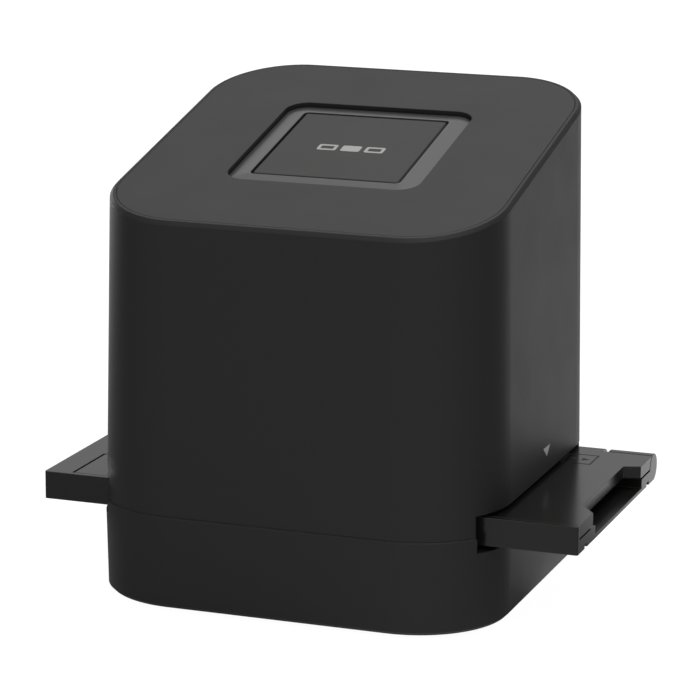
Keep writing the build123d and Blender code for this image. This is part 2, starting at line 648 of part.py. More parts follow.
# Lower half: film channel, gate window, front wall, left end, scooped right end and three knuckles.
with BuildPart() as tray_base:
    with BuildSketch(Plane.XY.offset(tray_z0)):
        with Locations((tray_mid, (tray_y0 + hinge_y) / 2)):
            Rectangle(tray_l, hinge_y - tray_y0)
    extrude(amount=PARTING)
    with BuildSketch(Plane.XY.offset(parting_z)):
        with Locations((tray_mid, tray_y0 + FRONT_WALL / 2)):
            Rectangle(tray_l, FRONT_WALL)
        with Locations((tray_x0 + END_WALL / 2, (tray_y0 + hinge_y) / 2)):
            Rectangle(END_WALL, hinge_y - tray_y0)
        with Locations((tray_x0 + END_WALL + LAND_L / 2, axis_y)):
            Rectangle(LAND_L, LAND_W)
    extrude(amount=TRAY_T - PARTING)
    fillet(tray_base.edges().filter_by(Axis.Z).group_by(Axis.Y)[0], TRAY_EDGE)
    for x0, x1 in base_free:
        with BuildSketch(Plane.YZ.offset(x0)):
            with Locations((hinge_y, hinge_z)):
                Circle(barrel_clear)
        extrude(amount=x1 - x0, mode=Mode.SUBTRACT)
    for x0, x1 in base_spans:
        with BuildSketch(Plane.YZ.offset(x0)):
            with Locations((hinge_y, hinge_z)):
                Circle(knuckle_r)
            with Locations((hinge_y - KNUCKLE_SHOULDER / 2, hinge_z)):
                Rectangle(KNUCKLE_SHOULDER, TRAY_T)
        extrude(amount=x1 - x0)
    with BuildSketch(Plane.YZ.offset(tray_x0)):
        with Locations((hinge_y, hinge_z)):
            Circle(HINGE_PIN_R + PIN_FIT)
    extrude(amount=tray_l - FRONT_WALL, mode=Mode.SUBTRACT)
    with BuildSketch(Plane.YZ.offset(tray_x0)):
        with Locations((axis_y, parting_z - FILM_DEEP / 2 + PART_GAP / 2)):
            Rectangle(FILM_W, FILM_DEEP + PART_GAP)
    extrude(amount=tray_l, mode=Mode.SUBTRACT)
    with BuildSketch(Plane.XZ.offset(-axis_y - FILM_W / 2)):
        with BuildLine():
            Polyline(
                (tray_x1 - RAMP_L, parting_z),
                (tray_x1, parting_z),
                (tray_x1, parting_z - RAMP_DEEP),
                (tray_x1 - RAMP_L / 2, parting_z - RAMP_DEEP),
                (tray_x1 - RAMP_L, parting_z - FILM_DEEP),
                close=True,
            )
        make_face()
    extrude(amount=FILM_W, mode=Mode.SUBTRACT)
    with BuildSketch(Plane.XY.offset(tray_z0)):
        with Locations((0, axis_y)):
            Rectangle(GATE_W, GATE_L)
    extrude(amount=PARTING, mode=Mode.SUBTRACT)
    with BuildSketch(Plane.XY.offset(tray_z0)):
        for groove_y in grooves:
            with Locations((tray_mid, groove_y)):
                Rectangle(tray_l, GROOVE_W)
    extrude(amount=GROOVE_DEEP, mode=Mode.SUBTRACT)
    with BuildSketch(Plane.XY.offset(tray_z0)):
        with Locations((spring_x, SPRING_Y)):
            Rectangle(SPRING_W + 2 * SLIDE_GAP, DETENT_L)
    extrude(amount=DETENT_DEEP, mode=Mode.SUBTRACT)
keep(tray_base.part, "tray_base")

# Lid: the upper half, hinged at the back, notched for the left land and funnelled at the film's mouth.
lid_x0 = tray_x0 + END_WALL + PART_GAP
lid_y0 = tray_y0 + FRONT_WALL + FRONT_GAP
with BuildPart() as tray_lid:
    with BuildSketch(Plane.XY.offset(lid_z)):
        with Locations(((lid_x0 + tray_x1) / 2, (lid_y0 + hinge_y) / 2)):
            Rectangle(tray_x1 - lid_x0, hinge_y - lid_y0)
        with Locations((lid_x0 + LAND_L / 2, axis_y)):
            Rectangle(LAND_L, LAND_W + 2 * PART_GAP, mode=Mode.SUBTRACT)
        with BuildLine():
            Polyline(
                (tray_x1, axis_y - LID_FUNNEL_FRONT),
                (tray_x1 - LID_NOTCH, axis_y - LID_NOTCH_FRONT),
                (tray_x1 - LID_NOTCH, axis_y + LID_NOTCH_BACK),
                (tray_x1, axis_y + LID_FUNNEL_BACK),
                close=True,
            )
        make_face(mode=Mode.SUBTRACT)
        with Locations((0, axis_y)):
            Rectangle(GATE_W, GATE_L, mode=Mode.SUBTRACT)
    extrude(amount=tray_top - lid_z)
    chamfer(tray_lid.faces().sort_by(Axis.Z)[-1].inner_wires()[0].edges(), GATE_BEVEL)
    for x0, x1 in lid_free:
        with BuildSketch(Plane.YZ.offset(x0)):
            with Locations((hinge_y, hinge_z)):
                Circle(barrel_clear)
        extrude(amount=x1 - x0, mode=Mode.SUBTRACT)
    for x0, x1 in lid_spans:
        with BuildSketch(Plane.YZ.offset(x0)):
            with Locations((hinge_y, hinge_z)):
                Circle(knuckle_r)
        extrude(amount=x1 - x0)
    with BuildSketch(Plane.YZ.offset(tray_x0)):
        with Locations((hinge_y, hinge_z)):
            Circle(HINGE_PIN_R + PIN_FIT)
    extrude(amount=tray_l, mode=Mode.SUBTRACT)
    with BuildSketch(Plane.XY.offset(tray_top)):
        with Locations((tray_x1 - MARK_FROM_END, hinge_y - MARK_FROM_HINGE)):
            Rectangle(MARK_W, MARK_L)
            Rectangle(MARK_W - 2 * MARK_LINE, MARK_L - 2 * MARK_LINE, mode=Mode.SUBTRACT)
    extrude(amount=-MARK_DEEP, mode=Mode.SUBTRACT)
keep(tray_lid.part, "tray_lid")

with BuildPart() as hinge_pin:
    with BuildSketch(Plane.YZ.offset(tray_x0 + FRONT_WALL)):
        with Locations((hinge_y, hinge_z)):
            Circle(HINGE_PIN_R)
    extrude(amount=tray_x1 - tray_x0 - 2 * FRONT_WALL)
keep(hinge_pin.part, "hinge_pin")

# ---------------------------------------------------------------- guides and backlight

# Lower guide: the plate that the tray runs on, with two ribs that steer its grooves.
lower_plate = inside(
    guide_w,
    tray_y1 - tray_y0 + 2 * LOWER_GUIDE_MARGIN,
    LOWER_GUIDE_R,
    Plane(origin=(0, axis_y, lower_guide_z), x_dir=(1, 0, 0), z_dir=(0, 0, 1)),
    GUIDE_T,
    0,
)
with BuildPart() as lower_guide:
    add(lower_plate)
    with BuildSketch(Plane.XY.offset(lower_guide_z)):
        with Locations((0, axis_y)):
            Rectangle(GUIDE_WINDOW_W, GUIDE_WINDOW_L)
        with Locations(*lower_bosses):
            RegularPolygon(SMALL_SCREW_R + PIN_FIT, SIDES)
    extrude(amount=GUIDE_T, mode=Mode.SUBTRACT)
    with BuildSketch(Plane.XY.offset(lower_guide_z + GUIDE_T)):
        for groove_y in grooves:
            with Locations((0, groove_y)):
                Rectangle(guide_w - 2 * LOWER_GUIDE_R, GUIDE_RIB_W)
    extrude(amount=GROOVE_DEEP)
    with BuildSketch(Plane.XY.offset(lower_guide_z + GUIDE_T)):
        with Locations(*lower_bosses):
            RegularPolygon(SMALL_HEAD_R + FIT, SIDES)
    extrude(amount=-SMALL_HEAD_H, mode=Mode.SUBTRACT)
    with BuildSketch(Plane.XY.offset(lower_guide_z + GUIDE_T)):
        with Locations((spring_x, SPRING_Y)):
            Rectangle(SPRING_W + 2 * SLIDE_GAP, SPRING_L + 2 * SLIDE_GAP)
    extrude(amount=-SPRING_BUMP, mode=Mode.SUBTRACT)
keep(lower_guide.part, "lower_guide")

keep(
    screws(
        lower_bosses,
        lower_guide_z + GUIDE_T - SMALL_HEAD_H,
        floor_z + FLOOR_T,
        SMALL_SCREW_R,
        SMALL_HEAD_R,
        SMALL_HEAD_H,
        up=False,
    ),
    "lower_guide_screws",
)

# Detent spring: a thin leaf in a pocket of the lower guide, with a bump under the tray.
with BuildPart() as detent_spring:
    spring_z = lower_guide_z + GUIDE_T - SPRING_BUMP
    with BuildSketch(Plane.YZ.offset(spring_x - SPRING_W / 2)):
        with BuildLine() as leaf:
            FilletPolyline(
                (SPRING_Y - SPRING_L / 2, spring_z + SPRING_T / 2),
                (SPRING_Y - SPRING_L / 6, spring_z + SPRING_T / 2),
                (SPRING_Y, tray_z0 - PIN_FIT - SPRING_T / 2),
                (SPRING_Y + SPRING_L / 6, spring_z + SPRING_T / 2),
                (SPRING_Y + SPRING_L / 2, spring_z + SPRING_T / 2),
                radius=SPRING_T,
            )
        trace(line_width=SPRING_T)
    extrude(amount=SPRING_W)
keep(detent_spring.part, "detent_spring")

upper_plate = inside(
    guide_w,
    BODY_D - 2 * GUIDE_INSET,
    UPPER_GUIDE_R,
    Plane.XY.offset(upper_guide_z),
    GUIDE_T,
    0,
)
with BuildPart() as upper_guide:
    add(upper_plate)
    with BuildSketch(Plane.XY.offset(upper_guide_z)):
        with Locations((0, axis_y)):
            Rectangle(GUIDE_WINDOW_W, GUIDE_WINDOW_L)
        with Locations(*case_posts):
            RegularPolygon(POST_R + PART_GAP, SIDES)
        with Locations(*guide_posts):
            RegularPolygon(SMALL_SCREW_R + PIN_FIT, SIDES)
    extrude(amount=GUIDE_T, mode=Mode.SUBTRACT)
    with BuildSketch(Plane.XY.offset(tunnel_z)):
        with Locations(*main_bosses):
            RegularPolygon(MAIN_BOSS_R, SIDES)
    extrude(amount=MAIN_BOARD_RAISE)
    with BuildSketch(Plane.XY.offset(upper_guide_z + GUIDE_T / 2)):
        with Locations(*main_bosses, *tunnel_screw_places):
            RegularPolygon(SMALL_SCREW_R + PIN_FIT, SIDES)
    extrude(amount=GUIDE_T + MAIN_BOARD_RAISE, mode=Mode.SUBTRACT)
keep(upper_guide.part, "upper_guide")

keep(
    screws(
        guide_posts,
        tunnel_z,
        upper_guide_z - 3 * GUIDE_T,
        SMALL_SCREW_R,
        SMALL_HEAD_R,
        SMALL_HEAD_H,
        up=False,
    ),
    "upper_guide_screws",
)

with BuildPart() as led_board:
    with BuildSketch(Plane.XY.offset(led_board_z)):
        with Locations((0, axis_y)):
            Rectangle(led_board_w, led_board_l)
        with Locations(*led_bosses):
            RegularPolygon(SMALL_SCREW_R + PIN_FIT, SIDES, mode=Mode.SUBTRACT)
    extrude(amount=BOARD_T)
keep(led_board.part, "led_board")

keep(
    screws(
        led_bosses,
        led_top,
        floor_z - FLOOR_T / 4,
        SMALL_SCREW_R,
        SMALL_HEAD_R,
        SMALL_HEAD_H,
        up=False,
    ),
    "led_board_screws",
)

with BuildPart() as backlight_leds:
    with BuildSketch(Plane.XY.offset(led_top)):
        with Locations((0, axis_y)):
            with GridLocations(LED_PITCH_X, LED_PITCH_Y, LED_COLUMNS, LED_ROWS):
                Rectangle(LED_W, LED_L)
    extrude(amount=LED_H)
keep(backlight_leds.part, "backlight_leds")

with BuildPart() as light_box:
    box_h = lower_guide_z - led_top
    with BuildSketch(Plane.XY.offset(led_top)):
        with Locations((0, axis_y)):
            Rectangle(LIGHT_BOX_W, LIGHT_BOX_L)
            Rectangle(LIGHT_BOX_W - 2 * LIGHT_BOX_T, LIGHT_BOX_L - 2 * LIGHT_BOX_T, mode=Mode.SUBTRACT)
    extrude(amount=box_h)
    with BuildSketch(Plane.XY.offset(lower_guide_z - DIFFUSER_T)):
        with Locations((0, axis_y)):
            Rectangle(
                LIGHT_BOX_W - 2 * LIGHT_BOX_T + 2 * DIFFUSER_LEDGE,
                LIGHT_BOX_L - 2 * LIGHT_BOX_T + 2 * DIFFUSER_LEDGE,
            )
    extrude(amount=DIFFUSER_T, mode=Mode.SUBTRACT)
keep(light_box.part, "light_box")

with BuildPart() as diffuser:
    with BuildSketch(Plane.XY.offset(lower_guide_z - DIFFUSER_T)):
        with Locations((0, axis_y)):
            Rectangle(
                LIGHT_BOX_W - 2 * LIGHT_BOX_T + 2 * DIFFUSER_LEDGE - 2 * FIT,
                LIGHT_BOX_L - 2 * LIGHT_BOX_T + 2 * DIFFUSER_LEDGE - 2 * FIT,
            )
    extrude(amount=DIFFUSER_T)
keep(diffuser.part, "diffuser")

# ---------------------------------------------------------------- camera

# Optical tunnel: a hollow pyramid from the film gate up to the lens.
with BuildPart() as optical_tunnel:
    with BuildSketch(Plane.XY.offset(tunnel_z)):
        with Locations((0, axis_y)):
            Rectangle(TUNNEL_W, TUNNEL_L)
    extrude(amount=tunnel_h, taper=tunnel_lean)
    with BuildSketch(Plane.XY.offset(tunnel_z)):
        with Locations((0, axis_y)):
            Rectangle(TUNNEL_W + 2 * TUNNEL_EAR, TUNNEL_FOOT_L)
    extrude(amount=TUNNEL_FOOT_T)
    with BuildSketch(Plane.XY.offset(tunnel_top - HEAD_T)):
        with Locations((0, axis_y)):
            Rectangle(HEAD_W, HEAD_L)
    extrude(amount=HEAD_T)
    with BuildSketch(Plane.XY.offset(tunnel_z)):
        with Locations((0, axis_y)):
            Rectangle(TUNNEL_W - 2 * TUNNEL_T, TUNNEL_L - 2 * TUNNEL_T)
    extrude(amount=tunnel_h - HEAD_T, taper=tunnel_lean, mode=Mode.SUBTRACT)
    with BuildSketch(Plane.XY.offset(tunnel_top - HEAD_T)):
        with Locations((0, axis_y)):
            RegularPolygon(BARREL_R + PART_GAP, ROUND_SIDES)
        with Locations(*head_screw_places):
            RegularPolygon(SMALL_SCREW_R + PIN_FIT, SIDES)
    extrude(amount=HEAD_T, mode=Mode.SUBTRACT)
    with BuildSketch(Plane.XY.offset(tunnel_z)):
        with Locations(*tunnel_screw_places):
            RegularPolygon(SMALL_SCREW_R + PIN_FIT, SIDES)
    extrude(amount=TUNNEL_FOOT_T, mode=Mode.SUBTRACT)
keep(optical_tunnel.part, "optical_tunnel")

keep(
    screws(
        tunnel_screw_places,
        tunnel_z + TUNNEL_FOOT_T,
        upper_guide_z + GUIDE_T / 2 + PIN_FIT,
        SMALL_SCREW_R,
        SMALL_HEAD_R,
        SMALL_HEAD_H,
        up=False,
    ),
    "tunnel_screws",
)

with BuildPart() as lens_mount:
    with BuildSketch(Plane.XY.offset(tunnel_top)):
        with Locations((0, axis_y)):
            Rectangle(HEAD_W, HEAD_L)
        with Locations(*head_screw_places):
            RegularPolygon(SMALL_SCREW_R + PIN_FIT, SIDES, mode=Mode.SUBTRACT)
    extrude(amount=MOUNT_H)
    with BuildSketch(Plane.XY.offset(tunnel_top)):
        with Locations((0, axis_y)):
            RegularPolygon(BARREL_R + PIN_FIT, ROUND_SIDES)
    extrude(amount=MOUNT_SHELF_Z, mode=Mode.SUBTRACT)
    with BuildSketch(Plane.XY.offset(tunnel_top)):
        with Locations((0, axis_y)):
            RegularPolygon(BARREL_BORE, ROUND_SIDES)
    extrude(amount=MOUNT_H, mode=Mode.SUBTRACT)
    with BuildSketch(Plane.XY.offset(tunnel_top + MOUNT_SHELF_Z + MOUNT_SHELF_T)):
        with Locations((0, axis_y)):
            Rectangle(MOUNT_CAVITY, MOUNT_CAVITY)
    extrude(amount=MOUNT_H, mode=Mode.SUBTRACT)
keep(lens_mount.part, "lens_mount")

with BuildPart() as lens_barrel:
    with BuildSketch(Plane.XY.offset(barrel_z)):
        with Locations((0, axis_y)):
            RegularPolygon(BARREL_R, ROUND_SIDES)
            RegularPolygon(BARREL_BORE, ROUND_SIDES, mode=Mode.SUBTRACT)
    extrude(amount=BARREL_H)
keep(lens_barrel.part, "lens_barrel")


def lens_element(low_z):
    """A disc on the optical axis, flat below and raised above towards its middle."""
    with BuildPart() as element:
        with BuildSketch(Plane.XY.offset(low_z)):
            with Locations((0, axis_y)):
                RegularPolygon(ELEMENT_R, ROUND_SIDES)
        extrude(amount=ELEMENT_T)
        chamfer(element.faces().sort_by(Axis.Z)[-1].edges(), ELEMENT_BULGE, ELEMENT_R - ELEMENT_FLAT)
    return element.part


keep(lens_element(barrel_z + ELEMENT_T / 2), "lens_front_element")
keep(lens_element(barrel_z + BARREL_H - 2 * ELEMENT_T), "lens_rear_element")

with BuildPart() as infrared_filter:
    with BuildSketch(Plane.XY.offset(tunnel_top + MOUNT_SHELF_Z + MOUNT_SHELF_T)):
        with Locations((0, axis_y)):
            Rectangle(FILTER_SIDE, FILTER_SIDE)
    extrude(amount=FILTER_T)
keep(infrared_filter.part, "infrared_filter")

with BuildPart() as image_sensor:
    with BuildSketch(Plane.XY.offset(sensor_board_z - SENSOR_T)):
        with Locations((0, axis_y)):
            Rectangle(SENSOR_SIDE, SENSOR_SIDE)
    extrude(amount=SENSOR_T)
keep(image_sensor.part, "image_sensor")

with BuildPart() as sensor_board:
    with BuildSketch(Plane.XY.offset(sensor_board_z)):
        with Locations((0, axis_y)):
            Rectangle(HEAD_W, SENSOR_BOARD_SIDE)
        with Locations(*head_screw_places):
            RegularPolygon(SMALL_SCREW_R + PIN_FIT, SIDES, mode=Mode.SUBTRACT)
    extrude(amount=BOARD_T)
keep(sensor_board.part, "sensor_board")

keep(
    screws(
        head_screw_places,
        sensor_board_z + BOARD_T,
        tunnel_top - HEAD_T / 2,
        SMALL_SCREW_R,
        SMALL_HEAD_R,
        SMALL_HEAD_H,
        up=False,
    ),
    "camera_screws",
)

# ---------------------------------------------------------------- main board

with BuildPart() as main_board:
    with BuildSketch(Plane.XY.offset(main_board_z)):
        with Locations((0, main_board_mid)):
            Rectangle(main_board_w, main_board_l)
        with Locations(*main_bosses):
            RegularPolygon(SMALL_SCREW_R + PIN_FIT, SIDES, mode=Mode.SUBTRACT)
    extrude(amount=BOARD_T)
keep(main_board.part, "main_board")

keep(
    screws(
        main_bosses,
        main_board_top,
        tunnel_z,
        SMALL_SCREW_R,
        SMALL_HEAD_R,
        SMALL_HEAD_H,
        up=False,
    ),
    "main_board_screws",
)

for chip_name, chip_x, chip_w in (
    ("processor_chip", CHIP_X, CHIP_W),
    ("memory_chip", MEMORY_X, MEMORY_W),
):
    with BuildPart() as chip:
        with BuildSketch(Plane.XY.offset(main_board_top)):
            with Locations((chip_x, chip_y)):
                Rectangle(chip_w, chip_w)
        extrude(amount=CHIP_H)
    keep(chip.part, chip_name)

# USB socket: a folded sheet shell round a plastic tongue, its mouth in the casing's back wall.
with BuildPart() as usb_socket:
    with BuildSketch(Plane.XZ.offset(-usb_back)):
        with Locations((0, usb_z)):
            Rectangle(USB_W, USB_H)
    extrude(amount=USB_L)
    with BuildSketch(Plane.XZ.offset(-usb_back)):
        with Locations((0, usb_z)):
            Rectangle(USB_W - 2 * USB_SHEET, USB_H - 2 * USB_SHEET)
    extrude(amount=USB_L - 2 * USB_SHEET, mode=Mode.SUBTRACT)
keep(usb_socket.part, "usb_socket")

with BuildPart() as usb_tongue:
    with BuildSketch(Plane.XZ.offset(-usb_back + 2 * USB_SHEET)):
        with Locations((0, usb_z)):
            Rectangle(TONGUE_W, TONGUE_H)
    extrude(amount=USB_L - 4 * USB_SHEET)
keep(usb_tongue.part, "usb_tongue")


def ribbon(middle_x, width, points):
    """A flat cable of constant width that follows points in the upright plane at middle_x."""
    with BuildPart() as cable:
        with BuildSketch(Plane.YZ.offset(middle_x - width / 2)):
            with BuildLine():
                FilletPolyline(*points, radius=RIBBON_BEND)
            trace(line_width=RIBBON_T)
        extrude(amount=width)
    return cable.part


def on_slope(v, deep):
    """The (y, z) of a point v up the slope and deep under the slanting top."""
    return v * cos(tilt) + deep * sin(tilt), TOP_Z + v * sin(tilt) - deep * cos(tilt)


# Ribbons and their sockets on the boards
sensor_edge = axis_y + SENSOR_BOARD_SIDE / 2
sensor_ribbon_z = sensor_board_z - SOCKET_H / 2
main_socket_y = main_board_y0 + MAIN_BOSS_INSET
main_socket_z = main_board_top + SOCKET_H / 2
keep(
    ribbon(
        sensor_ribbon_x,
        SENSOR_RIBBON_W,
        [
            (sensor_edge, sensor_ribbon_z),
            (sensor_edge + 2 * RIBBON_BEND, sensor_ribbon_z),
            (sensor_edge + 2 * RIBBON_BEND, main_socket_z),
            (main_socket_y, main_socket_z),
        ],
    ),
    "sensor_ribbon",
)
board_edge = BUTTON_BOARD_L / 2
socket_deep = BUTTON_BOARD_DEEP + BOARD_T + SOCKET_H / 2
ribbon_turn = on_slope(board_edge + 4 * RIBBON_BEND, socket_deep)
keep(
    ribbon(
        BUTTON_RIBBON_X,
        BUTTON_RIBBON_W,
        [
            on_slope(board_edge, socket_deep),
            ribbon_turn,
            (ribbon_turn[0], main_board_top + SOCKET_H),
        ],
    ),
    "button_ribbon",
)
with BuildPart() as ribbon_sockets:
    with BuildSketch(Plane.XY.offset(sensor_board_z)):
        with Locations((sensor_ribbon_x + SENSOR_RIBBON_W / 2, sensor_edge - SOCKET_L / 2)):
            Rectangle(SENSOR_RIBBON_W, SOCKET_L)
    extrude(amount=-SOCKET_H)
    with BuildSketch(Plane.XY.offset(main_board_top)):
        with Locations((sensor_ribbon_x, main_socket_y + SOCKET_L / 2)):
            Rectangle(SENSOR_RIBBON_W, SOCKET_L)
        with Locations((BUTTON_RIBBON_X, ribbon_turn[0])):
            Rectangle(BUTTON_RIBBON_W, SOCKET_L)
    extrude(amount=SOCKET_H)
    with BuildSketch(top_plane.offset(-(BUTTON_BOARD_DEEP + BOARD_T))):
        with Locations((BUTTON_RIBBON_X, board_edge - SOCKET_L / 2)):
            Rectangle(BUTTON_RIBBON_W, SOCKET_L)
    extrude(amount=-SOCKET_H)
keep(ribbon_sockets.part, "ribbon_sockets")
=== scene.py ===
import math

import bpy
import numpy as np
from mathutils import Matrix, Vector


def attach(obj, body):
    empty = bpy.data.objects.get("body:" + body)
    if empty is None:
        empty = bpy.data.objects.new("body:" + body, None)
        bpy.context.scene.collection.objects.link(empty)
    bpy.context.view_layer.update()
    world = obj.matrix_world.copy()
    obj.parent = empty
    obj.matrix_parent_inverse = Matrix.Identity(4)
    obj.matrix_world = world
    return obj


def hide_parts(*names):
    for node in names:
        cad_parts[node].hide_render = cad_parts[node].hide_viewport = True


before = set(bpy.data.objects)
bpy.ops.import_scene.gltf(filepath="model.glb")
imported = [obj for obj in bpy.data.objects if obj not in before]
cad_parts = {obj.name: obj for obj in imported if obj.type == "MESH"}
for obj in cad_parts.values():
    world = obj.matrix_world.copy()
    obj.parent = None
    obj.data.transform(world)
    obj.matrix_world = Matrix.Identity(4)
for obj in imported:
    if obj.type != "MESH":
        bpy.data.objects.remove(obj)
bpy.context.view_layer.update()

# The film scanner stands on the floor at z 0 with its front along -Y. Lengths are in mm and MM turns them into
# Blender's metres. Only the floor, the lamps and the camera's clip distances are given in metres.
MM = 0.001

# The slanting top: a point on its middle line, and the unit vectors across it, up the slope and out of it.
TOP_POINT = Vector((0, 0, 91.5 * MM))
TOP_SLOPE = math.radians(13.57)
TOP_RIGHT = Vector((1, 0, 0))
TOP_UP = Vector((0, math.cos(TOP_SLOPE), math.sin(TOP_SLOPE)))
TOP_OUT = Vector((0, -math.sin(TOP_SLOPE), math.cos(TOP_SLOPE)))

# ---------------------------------------------------------------- materials


def srgb(text):
    """Linear colour of an sRGB hex value."""
    parts = np.array([int(text[i : i + 2], 16) for i in (1, 3, 5)]) / 255
    linear = np.where(parts <= 0.04045, parts / 12.92, ((parts + 0.055) / 1.055) ** 2.4)
    return (*linear.tolist(), 1.0)


def times(colour, share):
    """A linear colour made paler or darker by a share."""
    return (*(part * share for part in colour[:3]), 1.0)


def add_node(tree, kind, inputs=None, **settings):
    """Adds a node of one kind, with its settings, and sets or links its inputs."""
    made = tree.nodes.new(kind)
    for name, value in settings.items():
        setattr(made, name, value)
    for name, value in (inputs or {}).items():
        if isinstance(value, bpy.types.NodeSocket):
            tree.links.new(value, made.inputs[name])
        else:
            made.inputs[name].default_value = value
    return made


def empty_material(name):
    """A material without nodes, and its node tree."""
    material = bpy.data.materials.new(name)
    material.use_nodes = True
    material.node_tree.nodes.clear()
    return material, material.node_tree


# What all moulded finishes share. The melt's colour drifts over this width in mm, and the roughness goes up and
# down with it over the range that a noise mostly keeps to.
MELT_DRIFT, ROUGHNESS_DRIFT = 14, 0.02
NOISE_LOW, NOISE_HIGH = 0.3, 0.7
# A paler colour at an edge, partly wear and partly a painted highlight, by the dot product of the rounded
# normal and the face's own: where it begins, where it is full, and how much of the edge colour it then takes.
WEAR_AND_HIGHLIGHT_BEGINS, WEAR_AND_HIGHLIGHT_FULL, WEAR_AND_HIGHLIGHT_SHARE = 0.995, 0.80, 0.75
BEVEL_SAMPLES = 6


def moulded(name, colour, wear_and_highlight_colour, roughness, grain, depth, ior=1.54, level=0.5, edge=0.35, mottle=0.2):
    """A moulded plastic or rubber.

    grain is the width in mm of the texture that the tool leaves, and depth its height. The colour and the
    roughness drift over a centimetre or two as the melt and the handling leave them. Edges are rounded by edge
    in mm and turn to wear_and_highlight_colour, which is partly wear and partly a painted highlight along the
    edges, and mottle is the share by which the colour gets paler.
    """
    material, tree = empty_material(name)
    place = add_node(tree, "ShaderNodeTexCoord").outputs["Object"]
    grains = add_node(
        tree,
        "ShaderNodeTexNoise",
        {"Vector": place, "Scale": 1 / (grain * MM), "Detail": 3.0, "Roughness": 0.6},
    ).outputs["Fac"]
    drift = add_node(
        tree,
        "ShaderNodeTexNoise",
        {"Vector": place, "Scale": 1 / (MELT_DRIFT * MM), "Detail": 4.0, "Roughness": 0.55},
    ).outputs["Fac"]
    rounded = add_node(
        tree, "ShaderNodeBevel", {"Radius": edge * MM}, samples=BEVEL_SAMPLES
    ).outputs["Normal"]
    true = add_node(tree, "ShaderNodeNewGeometry").outputs["True Normal"]
    facing = add_node(
        tree, "ShaderNodeVectorMath", {0: rounded, 1: true}, operation="DOT_PRODUCT"
    ).outputs["Value"]
    # Paler edges, partly wear and partly a painted highlight, strongest where the rounded normal turns
    # furthest.
    wear_and_highlight = add_node(
        tree,
        "ShaderNodeMapRange",
        {"Value": facing, "From Min": WEAR_AND_HIGHLIGHT_BEGINS, "From Max": WEAR_AND_HIGHLIGHT_FULL, "To Max": WEAR_AND_HIGHLIGHT_SHARE},
    ).outputs["Result"]
    wear_and_highlight_drift = add_node(
        tree, "ShaderNodeMath", {0: wear_and_highlight, 1: drift}, operation="MULTIPLY"
    ).outputs["Value"]
    base = srgb(colour)
    drifted = add_node(
        tree, "ShaderNodeMix", {0: drift, 6: base, 7: times(base, 1 + mottle)}, data_type="RGBA"
    )
    tinted = add_node(
        tree, "ShaderNodeMix", {0: wear_and_highlight_drift, 6: drifted.outputs[2], 7: srgb(wear_and_highlight_colour)}, data_type="RGBA"
    )
    rough = add_node(
        tree,
        "ShaderNodeMapRange",
        {
            "Value": drift,
            "From Min": NOISE_LOW,
            "From Max": NOISE_HIGH,
            "To Min": roughness - ROUGHNESS_DRIFT,
            "To Max": roughness + ROUGHNESS_DRIFT,
        },
    ).outputs["Result"]
    bump = add_node(
        tree,
        "ShaderNodeBump",
        {"Height": grains, "Strength": 1.0, "Distance": depth * MM, "Normal": rounded},
    ).outputs["Normal"]
    shader = add_node(
        tree,
        "ShaderNodeBsdfPrincipled",
        {
            "Base Color": tinted.outputs[2],
            "Roughness": rough,
            "IOR": ior,
            "Specular IOR Level": level,
            "Normal": bump,
        },
    )
    add_node(tree, "ShaderNodeOutputMaterial", {0: shader.outputs[0]})
    return material


# Black ABS from a spark-eroded tool: a fine matt grain, drawn at 0.5 mm because the real 0.1 mm would not
# show.
housing = moulded(
    "ABS black spark eroded", "#212121", "#454543", roughness=0.50, grain=0.5, depth=0.010, level=0.40
)
# The same ABS from a finer tool: a little smoother, so the top is a shade lighter than the walls.
panel = moulded(
    "ABS black fine texture", "#222222", "#454543", roughness=0.48, grain=0.45, depth=0.007, level=0.42
)
# Black ABS from a stoned tool: satin, so its slopes catch the light. Its colour is paler than that of the
# other black ABS: a painted sheen on the ring.
bezel = moulded(
    "ABS black satin bezel",
    "#434342",
    "#787876",
    roughness=0.30,
    grain=0.6,
    depth=0.003,
    level=1.0,
    edge=0.12,
)
# Black ABS of the button: satin, with an even sheen over its face.
button = moulded(
    "ABS black satin button",
    "#252524",
    "#4a4a48",
    roughness=0.45,
    grain=0.45,
    depth=0.005,
    level=0.45,
    edge=0.25,
)
# ABS of the film tray: smoother from a finer tool and from sliding in the slot, so it mirrors the casing
# softly. Its pale edge colour is partly wear and partly a painted highlight along the lid's edges.
tray = moulded(
    "ABS black satin tray",
    "#1c1c1b",
    "#7c7c77",
    roughness=0.20,
    grain=0.5,
    depth=0.0015,
    level=0.40,
    edge=0.25,
)
# Black polycarbonate of the guides and the camera's tunnel: matt, so that it reflects no stray light.
inner = moulded(
    "Polycarbonate black matt", "#1d1d1d", "#333333", roughness=0.65, grain=0.5, depth=0.010, edge=0.2
)
# White ABS reflector of the backlight: an even white without a highlight.
white = moulded(
    "ABS white diffusing",
    "#dcdcd6",
    "#efefe9",
    roughness=0.55,
    grain=0.6,
    depth=0.004,
    edge=0.2,
    mottle=0.05,
)
# Moulded nitrile rubber feet: dull black with a coarse skin.
rubber = moulded(
    "Nitrile rubber moulded", "#1b1b1b", "#3a3a3a", roughness=0.8, grain=0.6, depth=0.02, ior=1.52, edge=0.3
)
# Green solder mask over glass fibre board: a coat that shines and lies slightly uneven.
board = moulded(
    "Solder mask green", "#14472b", "#2f7a4e", roughness=0.35, grain=0.7, depth=0.006, edge=0.1
)
# Epoxy moulding compound of the chips: dark grey with a fine dull skin.
epoxy = moulded(
    "Epoxy moulding compound", "#222224", "#3c3c3e", roughness=0.5, grain=0.3, depth=0.004, edge=0.1
)
# Polyimide of the flat ribbons: smooth amber that shines.
film = moulded(
    "Polyimide amber film", "#8a5a1c", "#b98336", roughness=0.3, grain=0.8, depth=0.002, ior=1.7, edge=0.1
)
